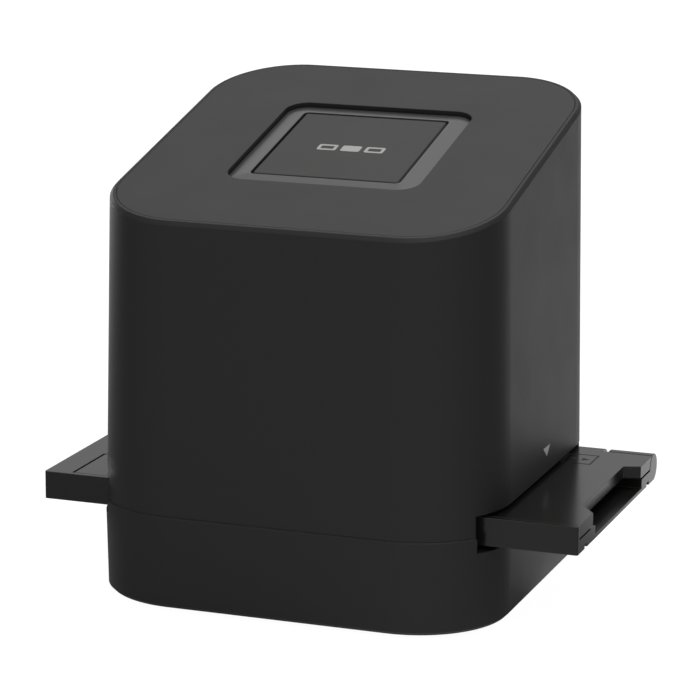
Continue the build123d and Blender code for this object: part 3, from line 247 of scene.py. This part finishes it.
# Silicone lens over the light emitting diodes: pale yellow from the phosphor in it.
phosphor = moulded(
    "Silicone phosphor",
    "#e6d27a",
    "#f3e7ac",
    roughness=0.35,
    grain=0.4,
    depth=0.003,
    ior=1.41,
    edge=0.1,
    mottle=0.1,
)

# The fine lines of drawing or turning: their width and depth, the share to which X is shrunk so that they run
# along it, and how far the roughness goes up and down between them.
LINE_WIDTH, LINE_DEPTH, LINE_SHRINK, LINE_ROUGHNESS = 0.25, 0.002, 0.06, 0.08


def drawn_metal(name, colour, roughness):
    """Bright metal with fine lines of drawing or turning, which lie along X and stretch the highlights."""
    material, tree = empty_material(name)
    place = add_node(tree, "ShaderNodeTexCoord").outputs["Object"]
    along = add_node(
        tree, "ShaderNodeMapping", {"Vector": place, "Scale": (LINE_SHRINK, 1.0, 1.0)}
    ).outputs["Vector"]
    lines = add_node(
        tree, "ShaderNodeTexNoise", {"Vector": along, "Scale": 1 / (LINE_WIDTH * MM), "Detail": 2.0}
    ).outputs["Fac"]
    rough = add_node(
        tree,
        "ShaderNodeMapRange",
        {"Value": lines, "To Min": roughness - LINE_ROUGHNESS, "To Max": roughness + LINE_ROUGHNESS},
    ).outputs["Result"]
    bump = add_node(
        tree, "ShaderNodeBump", {"Height": lines, "Strength": 1.0, "Distance": LINE_DEPTH * MM}
    ).outputs["Normal"]
    shader = add_node(
        tree,
        "ShaderNodeBsdfPrincipled",
        {"Base Color": srgb(colour), "Metallic": 1.0, "Roughness": rough, "Normal": bump},
    )
    add_node(tree, "ShaderNodeOutputMaterial", {0: shader.outputs[0]})
    return material


# Nickel plated steel of the screws inside, the pin, the spring and the socket: a warm bright grey.
nickel = drawn_metal("Steel nickel plated", "#b9b6ae", roughness=0.3)
# Gold flash over nickel on the contacts: a pale yellow that shines.
gold = drawn_metal("Gold flash over nickel", "#d9b25a", roughness=0.22)
# Turned steel with black oxide, for the case screws: dark with a faint brown sheen.
blackened = drawn_metal("Steel black oxide turned", "#3a3936", roughness=0.38)

# The width of the clouds in the faint haze on a lens coating.
GLASS_HAZE = 2


def optical_glass(name, colour):
    """Ground and polished glass with a thin tinted coating."""
    material, tree = empty_material(name)
    place = add_node(tree, "ShaderNodeTexCoord").outputs["Object"]
    haze = add_node(
        tree, "ShaderNodeTexNoise", {"Vector": place, "Scale": 1 / (GLASS_HAZE * MM), "Detail": 3.0}
    ).outputs["Fac"]
    rough = add_node(
        tree, "ShaderNodeMapRange", {"Value": haze, "To Min": 0.02, "To Max": 0.08}
    ).outputs["Result"]
    shader = add_node(
        tree,
        "ShaderNodeBsdfPrincipled",
        {
            "Base Color": srgb(colour),
            "Roughness": rough,
            "IOR": 1.52,
            "Transmission Weight": 1.0,
        },
    )
    add_node(tree, "ShaderNodeOutputMaterial", {0: shader.outputs[0]})
    return material


# Coated lens glass: clear with a cool tint.
glass = optical_glass("Glass coated polished", "#d8e4ee")
# Glass that absorbs infrared: clear with a blue green tint.
blue_glass = optical_glass("Glass infrared absorbing", "#9fd0cf")

# The ink's film is uneven over this width, and where it is thin it keeps this share of its colour.
INK_CLOUD, THIN_INK = 0.8, 0.85


def printed_ink(name, colour):
    """Pad printed ink: an opaque, slightly uneven film that dries satin."""
    material, tree = empty_material(name)
    place = add_node(tree, "ShaderNodeTexCoord").outputs["Object"]
    cover = add_node(
        tree, "ShaderNodeTexNoise", {"Vector": place, "Scale": 1 / (INK_CLOUD * MM), "Detail": 3.0}
    ).outputs["Fac"]
    base = srgb(colour)
    tinted = add_node(
        tree, "ShaderNodeMix", {0: cover, 6: times(base, THIN_INK), 7: base}, data_type="RGBA"
    )
    rough = add_node(
        tree, "ShaderNodeMapRange", {"Value": cover, "To Min": 0.45, "To Max": 0.6}
    ).outputs["Result"]
    shader = add_node(
        tree,
        "ShaderNodeBsdfPrincipled",
        {"Base Color": tinted.outputs[2], "Roughness": rough, "IOR": 1.5},
    )
    add_node(tree, "ShaderNodeOutputMaterial", {0: shader.outputs[0]})
    return material


# The pictogram on the button: near white, satin.
ink = printed_ink("Pad printing ink light grey", "#c6c6c4")
# The triangle on the side: the same ink, a trace paler because it faces away from the light.
grey_ink = printed_ink("Pad printing ink mid grey", "#cacac8")
# Black paint of the marks on the tray's lid, which show by their sheen alone.
dark_ink = printed_ink("Pad printing ink black", "#161616")

FINISHES = {
    housing: ("casing", "base_shell"),
    panel: ("top_panel",),
    bezel: ("button_bezel",),
    button: ("scan_button",),
    tray: ("tray_base", "tray_lid"),
    inner: (
        "lower_guide",
        "upper_guide",
        "optical_tunnel",
        "lens_mount",
        "lens_barrel",
        "switch_body",
        "switch_plunger",
        "ribbon_sockets",
        "usb_tongue",
    ),
    white: ("light_box", "diffuser"),
    rubber: ("rubber_feet",),
    nickel: (
        "usb_socket",
        "detent_spring",
        "hinge_pin",
        "lower_guide_screws",
        "upper_guide_screws",
        "led_board_screws",
        "tunnel_screws",
        "camera_screws",
        "main_board_screws",
        "button_board_screws",
    ),
    blackened: ("case_screws",),
    board: ("main_board", "led_board", "sensor_board", "button_board"),
    epoxy: ("processor_chip", "memory_chip", "image_sensor"),
    film: ("sensor_ribbon", "button_ribbon"),
    phosphor: ("backlight_leds",),
    glass: ("lens_front_element", "lens_rear_element"),
    blue_glass: ("infrared_filter",),
}
for finish, names in FINISHES.items():
    for name in names:
        cad_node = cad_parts[name]
        if not cad_node.data.materials:
            cad_node.data.materials.append(finish)
        for finish_slot in cad_node.material_slots:
            finish_slot.link = "OBJECT"
            finish_slot.material = finish

# ---------------------------------------------------------------- printed marks


def add_object(name, data):
    """A new object of the scene that holds the data."""
    made = bpy.data.objects.new(name, data)
    bpy.context.scene.collection.objects.link(made)
    return made


def piece(name, points, faces, finish, body):
    """A mesh in the object's own frame that rides on a body."""
    mesh = bpy.data.meshes.new(name)
    mesh.from_pydata(points.tolist(), [], faces)
    mesh.update()
    mesh.materials.append(finish)
    made = add_object(name, mesh)
    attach(made, body)
    return made


def at(part, x, y, z):
    """The same part moved to a place in mm."""
    points, faces = part
    return points + [x, y, z], faces


def joined(parts):
    """One list of points and faces from several."""
    points, faces, first = [], [], 0
    for some_points, some_faces in parts:
        points.append(some_points)
        faces += [[first + k for k in face] for face in some_faces]
        first += len(some_points)
    return np.concatenate(points), faces


def placed(points, origin, right, up, out):
    """Points given across, up and out in mm on a plane, moved to their place in metres."""
    return np.array(origin) + points * MM @ np.array([right, up, out])


def rounded_outline(width, height, corner, steps):
    """Points of a rectangle with round corners.

    The outline is a quarter circle of radius corner about each corner's centre, taken in turn: centre plus
    corner times the cosine and sine of an angle that runs once round over all four.
    """
    quarter = np.arange(4 * steps) // steps * (np.pi / 2)
    angle = quarter + np.tile(np.linspace(0, np.pi / 2, steps), 4)
    middle = quarter + np.pi / 4
    x = np.sign(np.cos(middle)) * (width / 2 - corner) + corner * np.cos(angle)
    y = np.sign(np.sin(middle)) * (height / 2 - corner) + corner * np.sin(angle)
    return np.stack([x, y], 1)


def ink_ring(outer, inner_line, low, high):
    """A closed band of ink between two outlines.

    Its cross-section is the four corners (outer, low), (outer, high), (inner, high), (inner, low), carried
    once round the outline, so point (i, j) is section corner j at outline point i.
    """
    count = len(outer)
    section = [(outer, low), (outer, high), (inner_line, high), (inner_line, low)]
    rows = [np.column_stack([line, np.full(count, height)]) for line, height in section]
    points = np.stack(rows, 1).reshape(-1, 3)
    i, j = np.meshgrid(np.arange(count), np.arange(4), indexing="ij")
    step, turn = (i + 1) % count, (j + 1) % 4
    faces = np.stack([i * 4 + j, step * 4 + j, step * 4 + turn, i * 4 + turn], -1).reshape(-1, 4)
    return points, faces.tolist()


def ink_patch(outline, low, high):
    """A closed patch of ink inside an outline.

    The outline is taken at both heights, walls join the two, and at each height a fan of triangles joins it to
    its middle, the mean of its points.
    """
    count = len(outline)
    middle = outline.mean(0)
    points = np.concatenate(
        [
            np.column_stack([outline, np.full(count, low)]),
            np.column_stack([outline, np.full(count, high)]),
            [[*middle, low], [*middle, high]],
        ]
    )
    i = np.arange(count)
    step = (i + 1) % count
    walls = np.stack([i, step, step + count, i + count], 1)
    upper = np.stack([i + count, step + count, np.full(count, 2 * count + 1)], 1)
    lower = np.stack([step, i, np.full(count, 2 * count)], 1)
    return points, [*walls.tolist(), *upper.tolist(), *lower.tolist()]


# The height of all printed ink over its face.
INK = 0.03

# Three film frames in a row on the button, the middle one filled. The button's face lies BUTTON_DEEP below the
# plane of the top, and the row's middle is given across that plane and up it.
FRAME_W, FRAME_H, FRAME_PITCH, FRAME_LINE = 4.2, 2.9, 5.2, 0.7
FRAME_CORNER, FRAME_HOLE_CORNER, FRAME_STEPS = 0.5, 0.2, 6
BUTTON_DEEP = 0.45
MARK_ACROSS, MARK_UP = 0.35, -0.9
frame_line = rounded_outline(FRAME_W, FRAME_H, FRAME_CORNER, FRAME_STEPS)
hole_line = rounded_outline(
    FRAME_W - 2 * FRAME_LINE, FRAME_H - 2 * FRAME_LINE, FRAME_HOLE_CORNER, FRAME_STEPS
)
open_frame = ink_ring(frame_line, hole_line, 0, INK)
open_frames = joined([at(open_frame, shift, 0, 0) for shift in (-FRAME_PITCH, FRAME_PITCH)])
filled_frame = ink_patch(frame_line, 0, INK)
for name, mark in (("button_frames_mark", open_frames), ("button_centre_mark", filled_frame)):
    points, faces = at(mark, MARK_ACROSS, MARK_UP, -BUTTON_DEEP)
    piece(name, placed(points, TOP_POINT, TOP_RIGHT, TOP_UP, TOP_OUT), faces, ink, "button")

# Alignment triangle on the casing's right side, over the middle of the film channel, pointing down to it. Its
# corners are given along Y and up the side, which leans in by the draft from SIDE_POINT on.
DRAFT = math.radians(1.05)
SIDE_POINT = Vector((43.5 * MM, 0, 20.45 * MM))
SIDE_UP = Vector((-math.sin(DRAFT), 0, math.cos(DRAFT)))
SIDE_OUT = Vector((math.cos(DRAFT), 0, math.sin(DRAFT)))
TRIANGLE = np.array([(-0.9, 9.95), (1.6, 7.85), (3.9, 9.95)])
points, faces = ink_patch(TRIANGLE, 0, INK)
triangle_points = placed(points, SIDE_POINT, (0, 1, 0), SIDE_UP, SIDE_OUT)
piece("side_triangle_mark", triangle_points, faces, grey_ink, "housing")

# Two arrow heads inside the engraved square on the tray's lid, for the ways that the tray slides, and black
# paint wiped into the square's line, which is engraved 0.3 mm deep and filled up to 0.05 mm under the lid.
LID_POINT = Vector((46.3, 17.1, 24.09)) * MM
ARROW = np.array([(0.5, -0.9), (2.1, 0.0), (0.5, 0.9)])
LID_FRAME_W, LID_FRAME_H, LID_FRAME_LINE = 6.54, 7.54, 0.29
LID_FRAME_CORNER, LID_FRAME_STEPS = 0.04, 3
PAINT_LOW, PAINT_HIGH = -0.3, -0.05
outer_line = rounded_outline(LID_FRAME_W, LID_FRAME_H, LID_FRAME_CORNER, LID_FRAME_STEPS)
inner_line = rounded_outline(
    LID_FRAME_W - 2 * LID_FRAME_LINE, LID_FRAME_H - 2 * LID_FRAME_LINE, LID_FRAME_CORNER, LID_FRAME_STEPS
)
lid_marks = [ink_patch(ARROW * way, 0, INK) for way in (1, -1)]
lid_marks.append(ink_ring(outer_line, inner_line, PAINT_LOW, PAINT_HIGH))
points, faces = joined(lid_marks)
lid_points = placed(points, LID_POINT, (1, 0, 0), (0, 1, 0), (0, 0, 1))
piece("lid_arrows_mark", lid_points, faces, dark_ink, "tray")

# ---------------------------------------------------------------- feet, screws and contacts


def lathe(profile, steps, press=None, pressed_rings=0):
    """A turned shape.

    Each profile point (r, z) off the axis becomes the ring (r cos t, r sin t, z), and the first and last points
    are the poles. press, if given, is a function of (x, y) whose height is added to the first pole and to the
    first pressed_rings rings.
    """
    turn = np.linspace(0, 2 * np.pi, steps, endpoint=False)
    rings = profile[1:-1]
    x = rings[:, None, 0] * np.cos(turn)
    y = rings[:, None, 0] * np.sin(turn)
    z = np.repeat(rings[:, 1], steps).reshape(len(rings), steps)
    low_pole = profile[0, 1]
    if press is not None:
        z[:pressed_rings] += press(x, y)[:pressed_rings]
        low_pole += press(0.0, 0.0)
    points = np.concatenate(
        [[[0, 0, low_pole]], np.stack([x, y, z], -1).reshape(-1, 3), [[0, 0, profile[-1, 1]]]]
    )
    i, j = np.meshgrid(np.arange(len(rings) - 1), np.arange(steps), indexing="ij")
    following = (j + 1) % steps
    near, far = 1 + i * steps, 1 + (i + 1) * steps
    quads = np.stack([near + j, near + following, far + following, far + j], -1).reshape(-1, 4)
    k = np.arange(steps)
    after = (k + 1) % steps
    below = np.stack([np.zeros(steps, int), 1 + after, 1 + k], 1)
    last = 1 + (len(rings) - 1) * steps
    above = np.stack([np.full(steps, len(points) - 1), last + k, last + after], 1)
    return points, [*quads.tolist(), *below.tolist(), *above.tolist()]


# Rubber feet with a rounded tread edge and a shallow dimple. The profile runs from the tread's middle to the
# top, and the dimple's wall rises from the rim's radius to the floor's.
FOOT_RADIUS, FOOT_HEIGHT, FOOT_ROUND = 4.45, 1.8, 0.5
FOOT_DIMPLE, DIMPLE_FLOOR, DIMPLE_RIM = 0.25, 2.2, 2.8
FOOT_ASIDE, FOOT_STEPS, FOOT_ROUND_STEPS = 29, 48, 7
round_turn = np.linspace(-np.pi / 2, 0, FOOT_ROUND_STEPS)
foot_edge = np.column_stack(
    [
        FOOT_RADIUS - FOOT_ROUND + FOOT_ROUND * np.cos(round_turn),
        FOOT_ROUND + FOOT_ROUND * np.sin(round_turn),
    ]
)
foot_profile = np.concatenate(
    [
        [(0, FOOT_DIMPLE), (DIMPLE_FLOOR, FOOT_DIMPLE), (DIMPLE_RIM, 0)],
        foot_edge,
        [(FOOT_RADIUS, FOOT_HEIGHT), (0, FOOT_HEIGHT)],
    ]
)
foot = lathe(foot_profile, FOOT_STEPS)
asides = (-FOOT_ASIDE, FOOT_ASIDE)
points, faces = joined([at(foot, x, y, 0) for x in asides for y in asides])
feet = piece("rubber_feet_moulded", points * MM, faces, rubber, "housing")
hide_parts("rubber_feet")

# The cross recess of a screw: its depth, half a blade's width, how far the blades reach, and the widths over
# which it rises at a blade's flank and runs out at a blade's end.
RECESS_DEPTH, RECESS_BLADE, RECESS_REACH = 0.8, 0.32, 1.25
RECESS_FLANK, RECESS_RUNOUT = 0.12, 0.35


def cross_recess(x, y):
    """How far a cross is pressed into a screw head at a place off its axis.

    It is the full depth where the lesser of |x| and |y| is within half a blade. It fades in a straight line
    over the blade's flank, and along the greater of the two it fades to nothing at the blade's end.
    """
    longer = np.maximum(np.abs(x), np.abs(y))
    shorter = np.minimum(np.abs(x), np.abs(y))
    across = np.clip((RECESS_BLADE - shorter) / RECESS_FLANK + 0.5, 0, 1)
    along = np.clip((RECESS_REACH - longer) / RECESS_RUNOUT, 0, 1)
    return RECESS_DEPTH * across * along


# Pan head screws in their wells: a head whose face is domed by HEAD_DOME times the fourth power of its share
# of the radius, a shoulder, and a shank up into the casing's post.
HEAD_RADIUS, HEAD_LOW, HEAD_DOME, HEAD_SHOULDER = 2.35, 6.2, 0.7, 8.0
HEAD_RINGS, HEAD_FIRST_RING, SCREW_STEPS = 14, 0.04, 64
SHANK_RADIUS, SHANK_TOP = 1.2, 29.6
CASE_SCREWS = [(-20, -38.6), (20, -38.6), (-33.6, 35.1), (33.6, 35.1)]
head_turn = np.linspace(HEAD_FIRST_RING, 1, HEAD_RINGS)
head_dome = np.column_stack([HEAD_RADIUS * head_turn, HEAD_LOW + HEAD_DOME * head_turn**4])
screw_profile = np.concatenate(
    [
        [(0, HEAD_LOW)],
        head_dome,
        [
            (HEAD_RADIUS, HEAD_SHOULDER),
            (SHANK_RADIUS, HEAD_SHOULDER),
            (SHANK_RADIUS, SHANK_TOP),
            (0, SHANK_TOP),
        ],
    ]
)
screw = lathe(screw_profile, SCREW_STEPS, cross_recess, HEAD_RINGS)
points, faces = joined([at(screw, x, y, 0) for x, y in CASE_SCREWS])
screws = piece("case_screws_turned", points * MM, faces, blackened, "housing")
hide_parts("case_screws")


def sprung_strip(width, thickness, y_start, y_end, z_base, hump, steps):
    """A metal strip along y.

    Its four-cornered section is carried along z = base + hump sin^2(pi t) as t runs from 0 to 1, and each end
    is closed by a cap.
    """
    t = np.linspace(0, 1, steps)
    y = y_start + (y_end - y_start) * t
    z = z_base + hump * np.sin(np.pi * t) ** 2
    corners = [(-width / 2, 0), (width / 2, 0), (width / 2, thickness), (-width / 2, thickness)]
    points = np.stack(
        [np.column_stack([np.full(steps, x), y, z + lift]) for x, lift in corners], 1
    ).reshape(-1, 3)
    i, j = np.meshgrid(np.arange(steps - 1), np.arange(4), indexing="ij")
    turn = (j + 1) % 4
    quads = np.stack([i * 4 + j, i * 4 + turn, (i + 1) * 4 + turn, (i + 1) * 4 + j], -1).reshape(-1, 4)
    last = 4 * (steps - 1)
    return points, [*quads.tolist(), [3, 2, 1, 0], [last, last + 1, last + 2, last + 3]]


# Five gold contacts side by side along the socket's tongue, from its back end to its front.
CONTACT_WIDTH, CONTACT_THICK, CONTACT_PITCH = 0.36, 0.06, 0.7
CONTACT_BACK, CONTACT_FRONT = 42.6, 37.0
CONTACT_Z, CONTACT_HUMP, CONTACT_STEPS = 36.115, 0.08, 12
contact = sprung_strip(
    CONTACT_WIDTH, CONTACT_THICK, CONTACT_BACK, CONTACT_FRONT, CONTACT_Z, CONTACT_HUMP, CONTACT_STEPS
)
points, faces = joined([at(contact, x, 0, 0) for x in np.arange(-2, 3) * CONTACT_PITCH])
piece("usb_contacts", points * MM, faces, gold, "housing")

# ---------------------------------------------------------------- stage

WHITE = srgb("#ffffff")
# The room by compass direction, which is 1 towards BACKDROP_WAY, the middle of the backdrop a little to the
# left of straight behind, and -1 opposite to it. The level goes from FRONT_LEVEL at -1 to SIDE_LEVEL at
# SIDE_AT.
FRONT_LEVEL, SIDE_LEVEL, SIDE_AT = 0.50, 0.19, 0.2
BACKDROP_WAY = (-0.26, 0.966, 0.0)


def backdrop_level(tree, vector, brightest, dark_at, bright_at):
    """How bright the room is in a direction: dim in front and at the sides, and bright towards the backdrop.

    The direction's compass part (x, y) / sqrt(x^2 + y^2) is laid along BACKDROP_WAY, which gives 1 at the
    backdrop's middle and -1 in front of the object. The backdrop fades out between bright_at and dark_at.
    """
    parts = add_node(tree, "ShaderNodeSeparateXYZ", {"Vector": vector}).outputs
    flat = add_node(tree, "ShaderNodeCombineXYZ", {"X": parts["X"], "Y": parts["Y"]}).outputs["Vector"]
    compass = add_node(tree, "ShaderNodeVectorMath", {0: flat}, operation="NORMALIZE").outputs["Vector"]
    behind = add_node(
        tree, "ShaderNodeVectorMath", {0: compass, 1: BACKDROP_WAY}, operation="DOT_PRODUCT"
    ).outputs["Value"]
    dim = add_node(
        tree,
        "ShaderNodeMapRange",
        {
            "Value": behind,
            "From Min": -1.0,
            "From Max": SIDE_AT,
            "To Min": FRONT_LEVEL,
            "To Max": SIDE_LEVEL,
        },
    ).outputs["Result"]
    share = add_node(
        tree,
        "ShaderNodeMapRange",
        {"Value": behind, "From Min": dark_at, "From Max": bright_at},
        interpolation_type="SMOOTHSTEP",
    ).outputs["Result"]
    return add_node(
        tree, "ShaderNodeMix", {"Factor": share, 2: dim, 3: brightest}, data_type="FLOAT"
    ).outputs[0]


# The paper sweep reaches FLOOR metres each way. In reflections it lies in the light behind the object and in
# shade beside and in front of it, and the light's edge runs from SWEEP_CORNER, in metres, at the object's right
# front.
FLOOR = 3.0
SWEEP_CORNER = (0.03, -0.03, 0.0)
SWEEP_LIT, SWEEP_DARK_AT, SWEEP_BRIGHT_AT = 0.95, 0.62, 0.85
# To the camera the paper glows by itself, and its own colour adds only enough to show the shadow.
PAPER_GLOW, PAPER_COLOUR, SHADOWED_COLOUR = 0.97, "#e8e8e8", "#7a7a7a"
floor_mesh = bpy.data.meshes.new("floor")
floor_mesh.from_pydata(
    [(-FLOOR, -FLOOR, 0), (FLOOR, -FLOOR, 0), (FLOOR, FLOOR, 0), (-FLOOR, FLOOR, 0)], [], [(0, 1, 2, 3)]
)
floor = add_object("floor", floor_mesh)

floor_material, tree = empty_material("Paper sweep white")
ray = add_node(tree, "ShaderNodeLightPath").outputs
position = add_node(tree, "ShaderNodeNewGeometry").outputs["Position"]
from_corner = add_node(
    tree, "ShaderNodeVectorMath", {0: position, 1: SWEEP_CORNER}, operation="SUBTRACT"
).outputs["Vector"]
lit = backdrop_level(tree, from_corner, SWEEP_LIT, SWEEP_DARK_AT, SWEEP_BRIGHT_AT)
mirrored = add_node(
    tree,
    "ShaderNodeMath",
    {0: ray["Is Glossy Ray"], 1: ray["Is Transmission Ray"]},
    operation="MAXIMUM",
).outputs["Value"]
glow = add_node(tree, "ShaderNodeEmission", {"Color": WHITE, "Strength": PAPER_GLOW})
reflected = add_node(tree, "ShaderNodeEmission", {"Color": WHITE, "Strength": lit})
paper = add_node(tree, "ShaderNodeBsdfDiffuse", {"Color": srgb(PAPER_COLOUR)})
shadowed = add_node(tree, "ShaderNodeBsdfDiffuse", {"Color": srgb(SHADOWED_COLOUR)})
seen = add_node(tree, "ShaderNodeAddShader", {0: glow.outputs[0], 1: shadowed.outputs[0]})
for_rays = add_node(
    tree, "ShaderNodeMixShader", {0: mirrored, 1: paper.outputs[0], 2: reflected.outputs[0]}
)
for_camera = add_node(
    tree, "ShaderNodeMixShader", {0: ray["Is Camera Ray"], 1: for_rays.outputs[0], 2: seen.outputs[0]}
)
add_node(tree, "ShaderNodeOutputMaterial", {0: for_camera.outputs[0]})
floor_mesh.materials.append(floor_material)

# The backdrop gets brighter from its lower edge up to the direction whose height part z is CEILING_AT. The
# camera itself sees plain white.
CEILING_AT, CEILING_LOW, CEILING_HIGH = 0.36, 0.20, 0.69
BACKDROP_DARK_AT, BACKDROP_BRIGHT_AT = 0.78, 0.95
world = bpy.data.worlds.new("studio")
bpy.context.scene.world = world
world.use_nodes = True
tree = world.node_tree
tree.nodes.clear()
direction = add_node(tree, "ShaderNodeTexCoord").outputs["Generated"]
height = add_node(tree, "ShaderNodeSeparateXYZ", {"Vector": direction}).outputs["Z"]
ceiling = add_node(
    tree,
    "ShaderNodeMapRange",
    {"Value": height, "From Max": CEILING_AT, "To Min": CEILING_LOW, "To Max": CEILING_HIGH},
).outputs["Result"]
level = backdrop_level(tree, direction, ceiling, BACKDROP_DARK_AT, BACKDROP_BRIGHT_AT)
ray = add_node(tree, "ShaderNodeLightPath").outputs
strength = add_node(
    tree, "ShaderNodeMix", {"Factor": ray["Is Camera Ray"], 2: level, 3: 1.0}, data_type="FLOAT"
).outputs[0]
background = add_node(tree, "ShaderNodeBackground", {"Color": WHITE, "Strength": strength})
add_node(tree, "ShaderNodeOutputWorld", {0: background.outputs[0]})

# Each lamp is a square soft light that faces LAMP_AIM: its name, place and edge in metres, and watts.
LAMP_AIM = Vector((0, 0, 0.05))
LAMPS = (
    ("light_top", (0.05, 0.10, 0.95), 0.6, 2.9),
    ("light_back_right", (0.40, 0.80, 0.35), 0.5, 1.2),
    ("light_left", (-0.80, 0.50, 0.14), 0.25, 1.6),
)
# This lamp stands where the casing's side would mirror it into the tray's lid, so only matt faces see it.
MATT_ONLY = "light_back_right"
for name, place, edge, watts in LAMPS:
    lamp_data = bpy.data.lights.new(name, "AREA")
    lamp_data.shape = "RECTANGLE"
    lamp_data.size = lamp_data.size_y = edge
    lamp_data.energy = watts
    lamp = add_object(name, lamp_data)
    lamp.location = place
    lamp.rotation_mode = "QUATERNION"
    lamp.rotation_quaternion = (LAMP_AIM - Vector(place)).to_track_quat("-Z", "Y")
    lamp.visible_glossy = name != MATT_ONLY

# ---------------------------------------------------------------- camera

# The camera's bearing from the front to the right, its rise and its tilt, and its place, all worked out from
# the photograph's straight edges.
CAMERA_AZIMUTH = math.radians(19.68)
CAMERA_RISE = math.radians(13.18)
CAMERA_ROLL = math.radians(0.42)
CAMERA_PLACE = Vector((217.59, -607.96, 198.90)) * MM
FOCAL_MM, SENSOR_MM = 161.4, 36.0
CLIP_NEAR, CLIP_FAR = 0.05, 20.0

back = Vector(
    (
        math.sin(CAMERA_AZIMUTH) * math.cos(CAMERA_RISE),
        -math.cos(CAMERA_AZIMUTH) * math.cos(CAMERA_RISE),
        math.sin(CAMERA_RISE),
    )
)
level_right = Vector((math.cos(CAMERA_AZIMUTH), math.sin(CAMERA_AZIMUTH), 0))
level_up = back.cross(level_right)
right = math.cos(CAMERA_ROLL) * level_right + math.sin(CAMERA_ROLL) * level_up
up = math.cos(CAMERA_ROLL) * level_up - math.sin(CAMERA_ROLL) * level_right
camera_data = bpy.data.cameras.new("camera")
camera_data.lens, camera_data.sensor_width = FOCAL_MM, SENSOR_MM
camera_data.clip_start, camera_data.clip_end = CLIP_NEAR, CLIP_FAR
camera = add_object("camera", camera_data)
camera.matrix_world = Matrix.Translation(CAMERA_PLACE) @ Matrix((right, up, back)).transposed().to_4x4()
bpy.context.scene.camera = camera
bpy.context.scene.view_settings.view_transform = "Standard"
